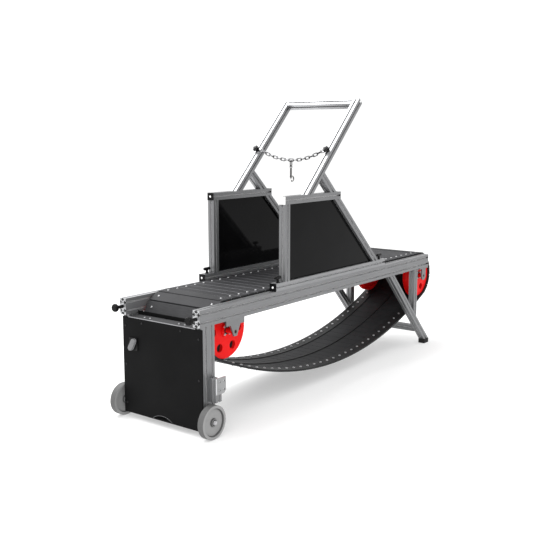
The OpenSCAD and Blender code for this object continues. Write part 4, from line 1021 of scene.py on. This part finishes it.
@dataclass
class Latch:
    """Smooth lever of the latch, and the corner screws of its base plate."""

    panel_x: float = PANEL_X
    pivot_y: float = 0.183
    pivot_z: float = 0.3448
    tilt: float = 29.0
    length: float = 0.039
    wide: float = 0.013
    tip: float = 0.012
    thick: float = 0.015
    lift: float = 0.0053
    edge: float = 0.0035
    plate_t: float = 0.005
    reach_y: float = 0.0215
    reach_z: float = 0.0245
    screw_r: float = 0.003
    screw_h: float = 0.0014

    def lever(self) -> None:
        """Hull two round ends into a lever, round its edges and set it on its pivot."""
        shape = bmesh.new()
        for reach, radius in ((0.0, self.wide), (self.length, self.tip)):
            for height in (self.lift, self.lift + self.thick):
                bmesh.ops.create_circle(shape, segments=40, radius=radius,
                                        matrix=Matrix.Translation((reach, 0.0, height)))
        bmesh.ops.convex_hull(shape, input=shape.verts)
        loose = [v for v in shape.verts if not v.link_faces]
        bmesh.ops.delete(shape, geom=loose, context="VERTS")
        bmesh.ops.dissolve_limit(shape, angle_limit=math.radians(1), verts=shape.verts, edges=shape.edges)
        crown = [e for e in shape.edges if all(v.co.z > self.lift + self.thick / 2 for v in e.verts)]
        bmesh.ops.bevel(shape, geom=crown, offset=self.edge, offset_type="OFFSET", affect="EDGES", segments=4,
                        profile=0.5, material=-1)
        turn = Matrix.Rotation(-math.pi / 2, 4, "Y") @ Matrix.Rotation(-math.radians(self.tilt), 4, "Z")
        bmesh.ops.transform(shape, verts=shape.verts,
                            matrix=Matrix.Translation(at(self.panel_x, self.pivot_y, self.pivot_z)) @ turn)
        piece = finished(shape, "latch_grip", LEVER, "latch")
        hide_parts("latch_lever")

    def screws(self) -> None:
        """Revolve a domed screw for each corner of the base plate."""
        shape = bmesh.new()
        lean = math.radians(self.tilt)
        middle_y = self.pivot_y - self.length / 2 * math.sin(lean)
        middle_z = self.pivot_z + self.length / 2 * math.cos(lean)
        for dy in SIDES:
            for dz in SIDES:
                spot = at(self.panel_x - self.plate_t, middle_y + dy * self.reach_y, middle_z + dz * self.reach_z)
                revolve(shape, [(0.0, -0.001), (self.screw_r, -0.001), (self.screw_r, self.screw_h * 0.3),
                                (self.screw_r * 0.8, self.screw_h * 0.8), (0.0, self.screw_h)],
                        aimed(Vector((-1, 0, 0)), spot), 16)
        finished(shape, "latch_screws", BLACK_SCREW, "frame")

    def build(self) -> None:
        """Build the lever and the screws."""
        self.lever()
        self.screws()


@dataclass
class Stage:
    """Pale floor, soft light and the camera."""

    eye: tuple[float, float, float] = (-2.53431, -2.5312, 1.2993)
    yaw: float = 37.27
    pitch: float = 8.95
    lens: float = 55.34
    sensor: float = 36.0
    far_clip: float = 200.0
    floor_r: float = 60.0
    floor_z: float = -0.0005
    floor_grey: float = 0.6
    floor_glow: float = 0.4
    surroundings: float = 1.06

    def floor(self) -> None:
        """Lay a round pale floor under the part."""
        shape = bmesh.new()
        bmesh.ops.create_circle(shape, cap_ends=True, segments=96, radius=self.floor_r,
                                matrix=Matrix.Translation((0, 0, self.floor_z)))
        mesh = bpy.data.meshes.new("floor")
        shape.to_mesh(mesh)
        shape.free()
        pale = bpy.data.materials.new("pale_floor")
        pale.use_nodes = True
        shader = pale.node_tree.nodes["Principled BSDF"]
        shader.inputs["Base Color"].default_value = (self.floor_grey, self.floor_grey, self.floor_grey, 1.0)
        shader.inputs["Emission Color"].default_value = (1.0, 1.0, 1.0, 1.0)
        shader.inputs["Emission Strength"].default_value = self.floor_glow
        shader.inputs["Roughness"].default_value = 0.9
        shader.inputs["Specular IOR Level"].default_value = 0.1
        mesh.materials.append(pale)
        piece = bpy.data.objects.new("floor", mesh)
        bpy.context.scene.collection.objects.link(piece)

    def lamp(self, name: str, place: tuple[float, float, float], aim: tuple[float, float, float], size: float,
             power: float) -> None:
        """Hang a square soft light.

        Args:
            name: Name of the light.
            place: Where it hangs.
            aim: The point that it faces.
            size: Side of the light.
            power: Power in watts.
        """
        data = bpy.data.lights.new(name, "AREA")
        data.shape = "SQUARE"
        data.size = size
        data.energy = power
        lamp = bpy.data.objects.new(name, data)
        lamp.location = place
        lamp.rotation_euler = (Vector(aim) - Vector(place)).to_track_quat("-Z", "Y").to_euler()
        bpy.context.scene.collection.objects.link(lamp)

    def light(self) -> None:
        """White surroundings and two large soft lights, one overhead and one in front."""
        world = bpy.data.worlds.new("studio")
        world.use_nodes = True
        back = world.node_tree.nodes["Background"]
        back.inputs["Color"].default_value = (1.0, 1.0, 1.0, 1.0)
        back.inputs["Strength"].default_value = self.surroundings
        bpy.context.scene.world = world
        bpy.context.scene.view_settings.view_transform = "Standard"
        self.lamp("overhead", (-0.6, 2.6, 4.6), (0.0, 0.0, 0.6), 5.0, 330.0)
        self.lamp("front", (-4.5, -1.5, 3.6), (0.0, 0.0, 0.5), 2.5, 70.0)

    def camera(self) -> None:
        """Stand the camera where the photograph was taken."""
        data = bpy.data.cameras.new("camera")
        data.lens = self.lens
        data.sensor_width = self.sensor
        data.clip_end = self.far_clip
        camera = bpy.data.objects.new("camera", data)
        yaw, pitch = math.radians(self.yaw), math.radians(self.pitch)
        camera.location = at(*self.eye)
        camera.rotation_euler = Euler((math.pi / 2 - pitch, 0.0, yaw - math.pi / 2), "XYZ")
        bpy.context.scene.collection.objects.link(camera)
        bpy.context.scene.camera = camera

    def build(self) -> None:
        """Build the floor, the light and the camera."""
        self.floor()
        self.light()
        self.camera()


FRONT_DRUM = Drum("front", "front_drum", FRONT_AXLE_X, 0.243, (math.radians(60.0), math.radians(190.0)))
REAR_DRUM = Drum("rear", "rear_drum", REAR_AXLE_X, 0.22795, (math.radians(-70.0), math.radians(190.0)))


def dress_nodes() -> None:
    """Give every node of the frame its finish."""
    for finish, names in NODE_FINISHES.items():
        for name in names:
            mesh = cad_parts[name].data
            mesh.materials.clear()
            mesh.materials.append(finish.material())
            LOG.info("%s: %s", name, finish.name)


def main() -> None:
    """Dress the frame, and build the fittings and the stage."""
    logging.basicConfig(level=logging.INFO, format="%(message)s")
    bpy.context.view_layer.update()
    dress_nodes()
    for part in (SlatBelt(), FrameScrews(), CapPlugs(), EndSlotShade(), FRONT_DRUM, REAR_DRUM, TensionKnobs(), StarCaps(),
                 WheelFittings(), PanelFittings(), Latch(), Stage()):
        part.build()


if __name__ == "__main__":
    main()
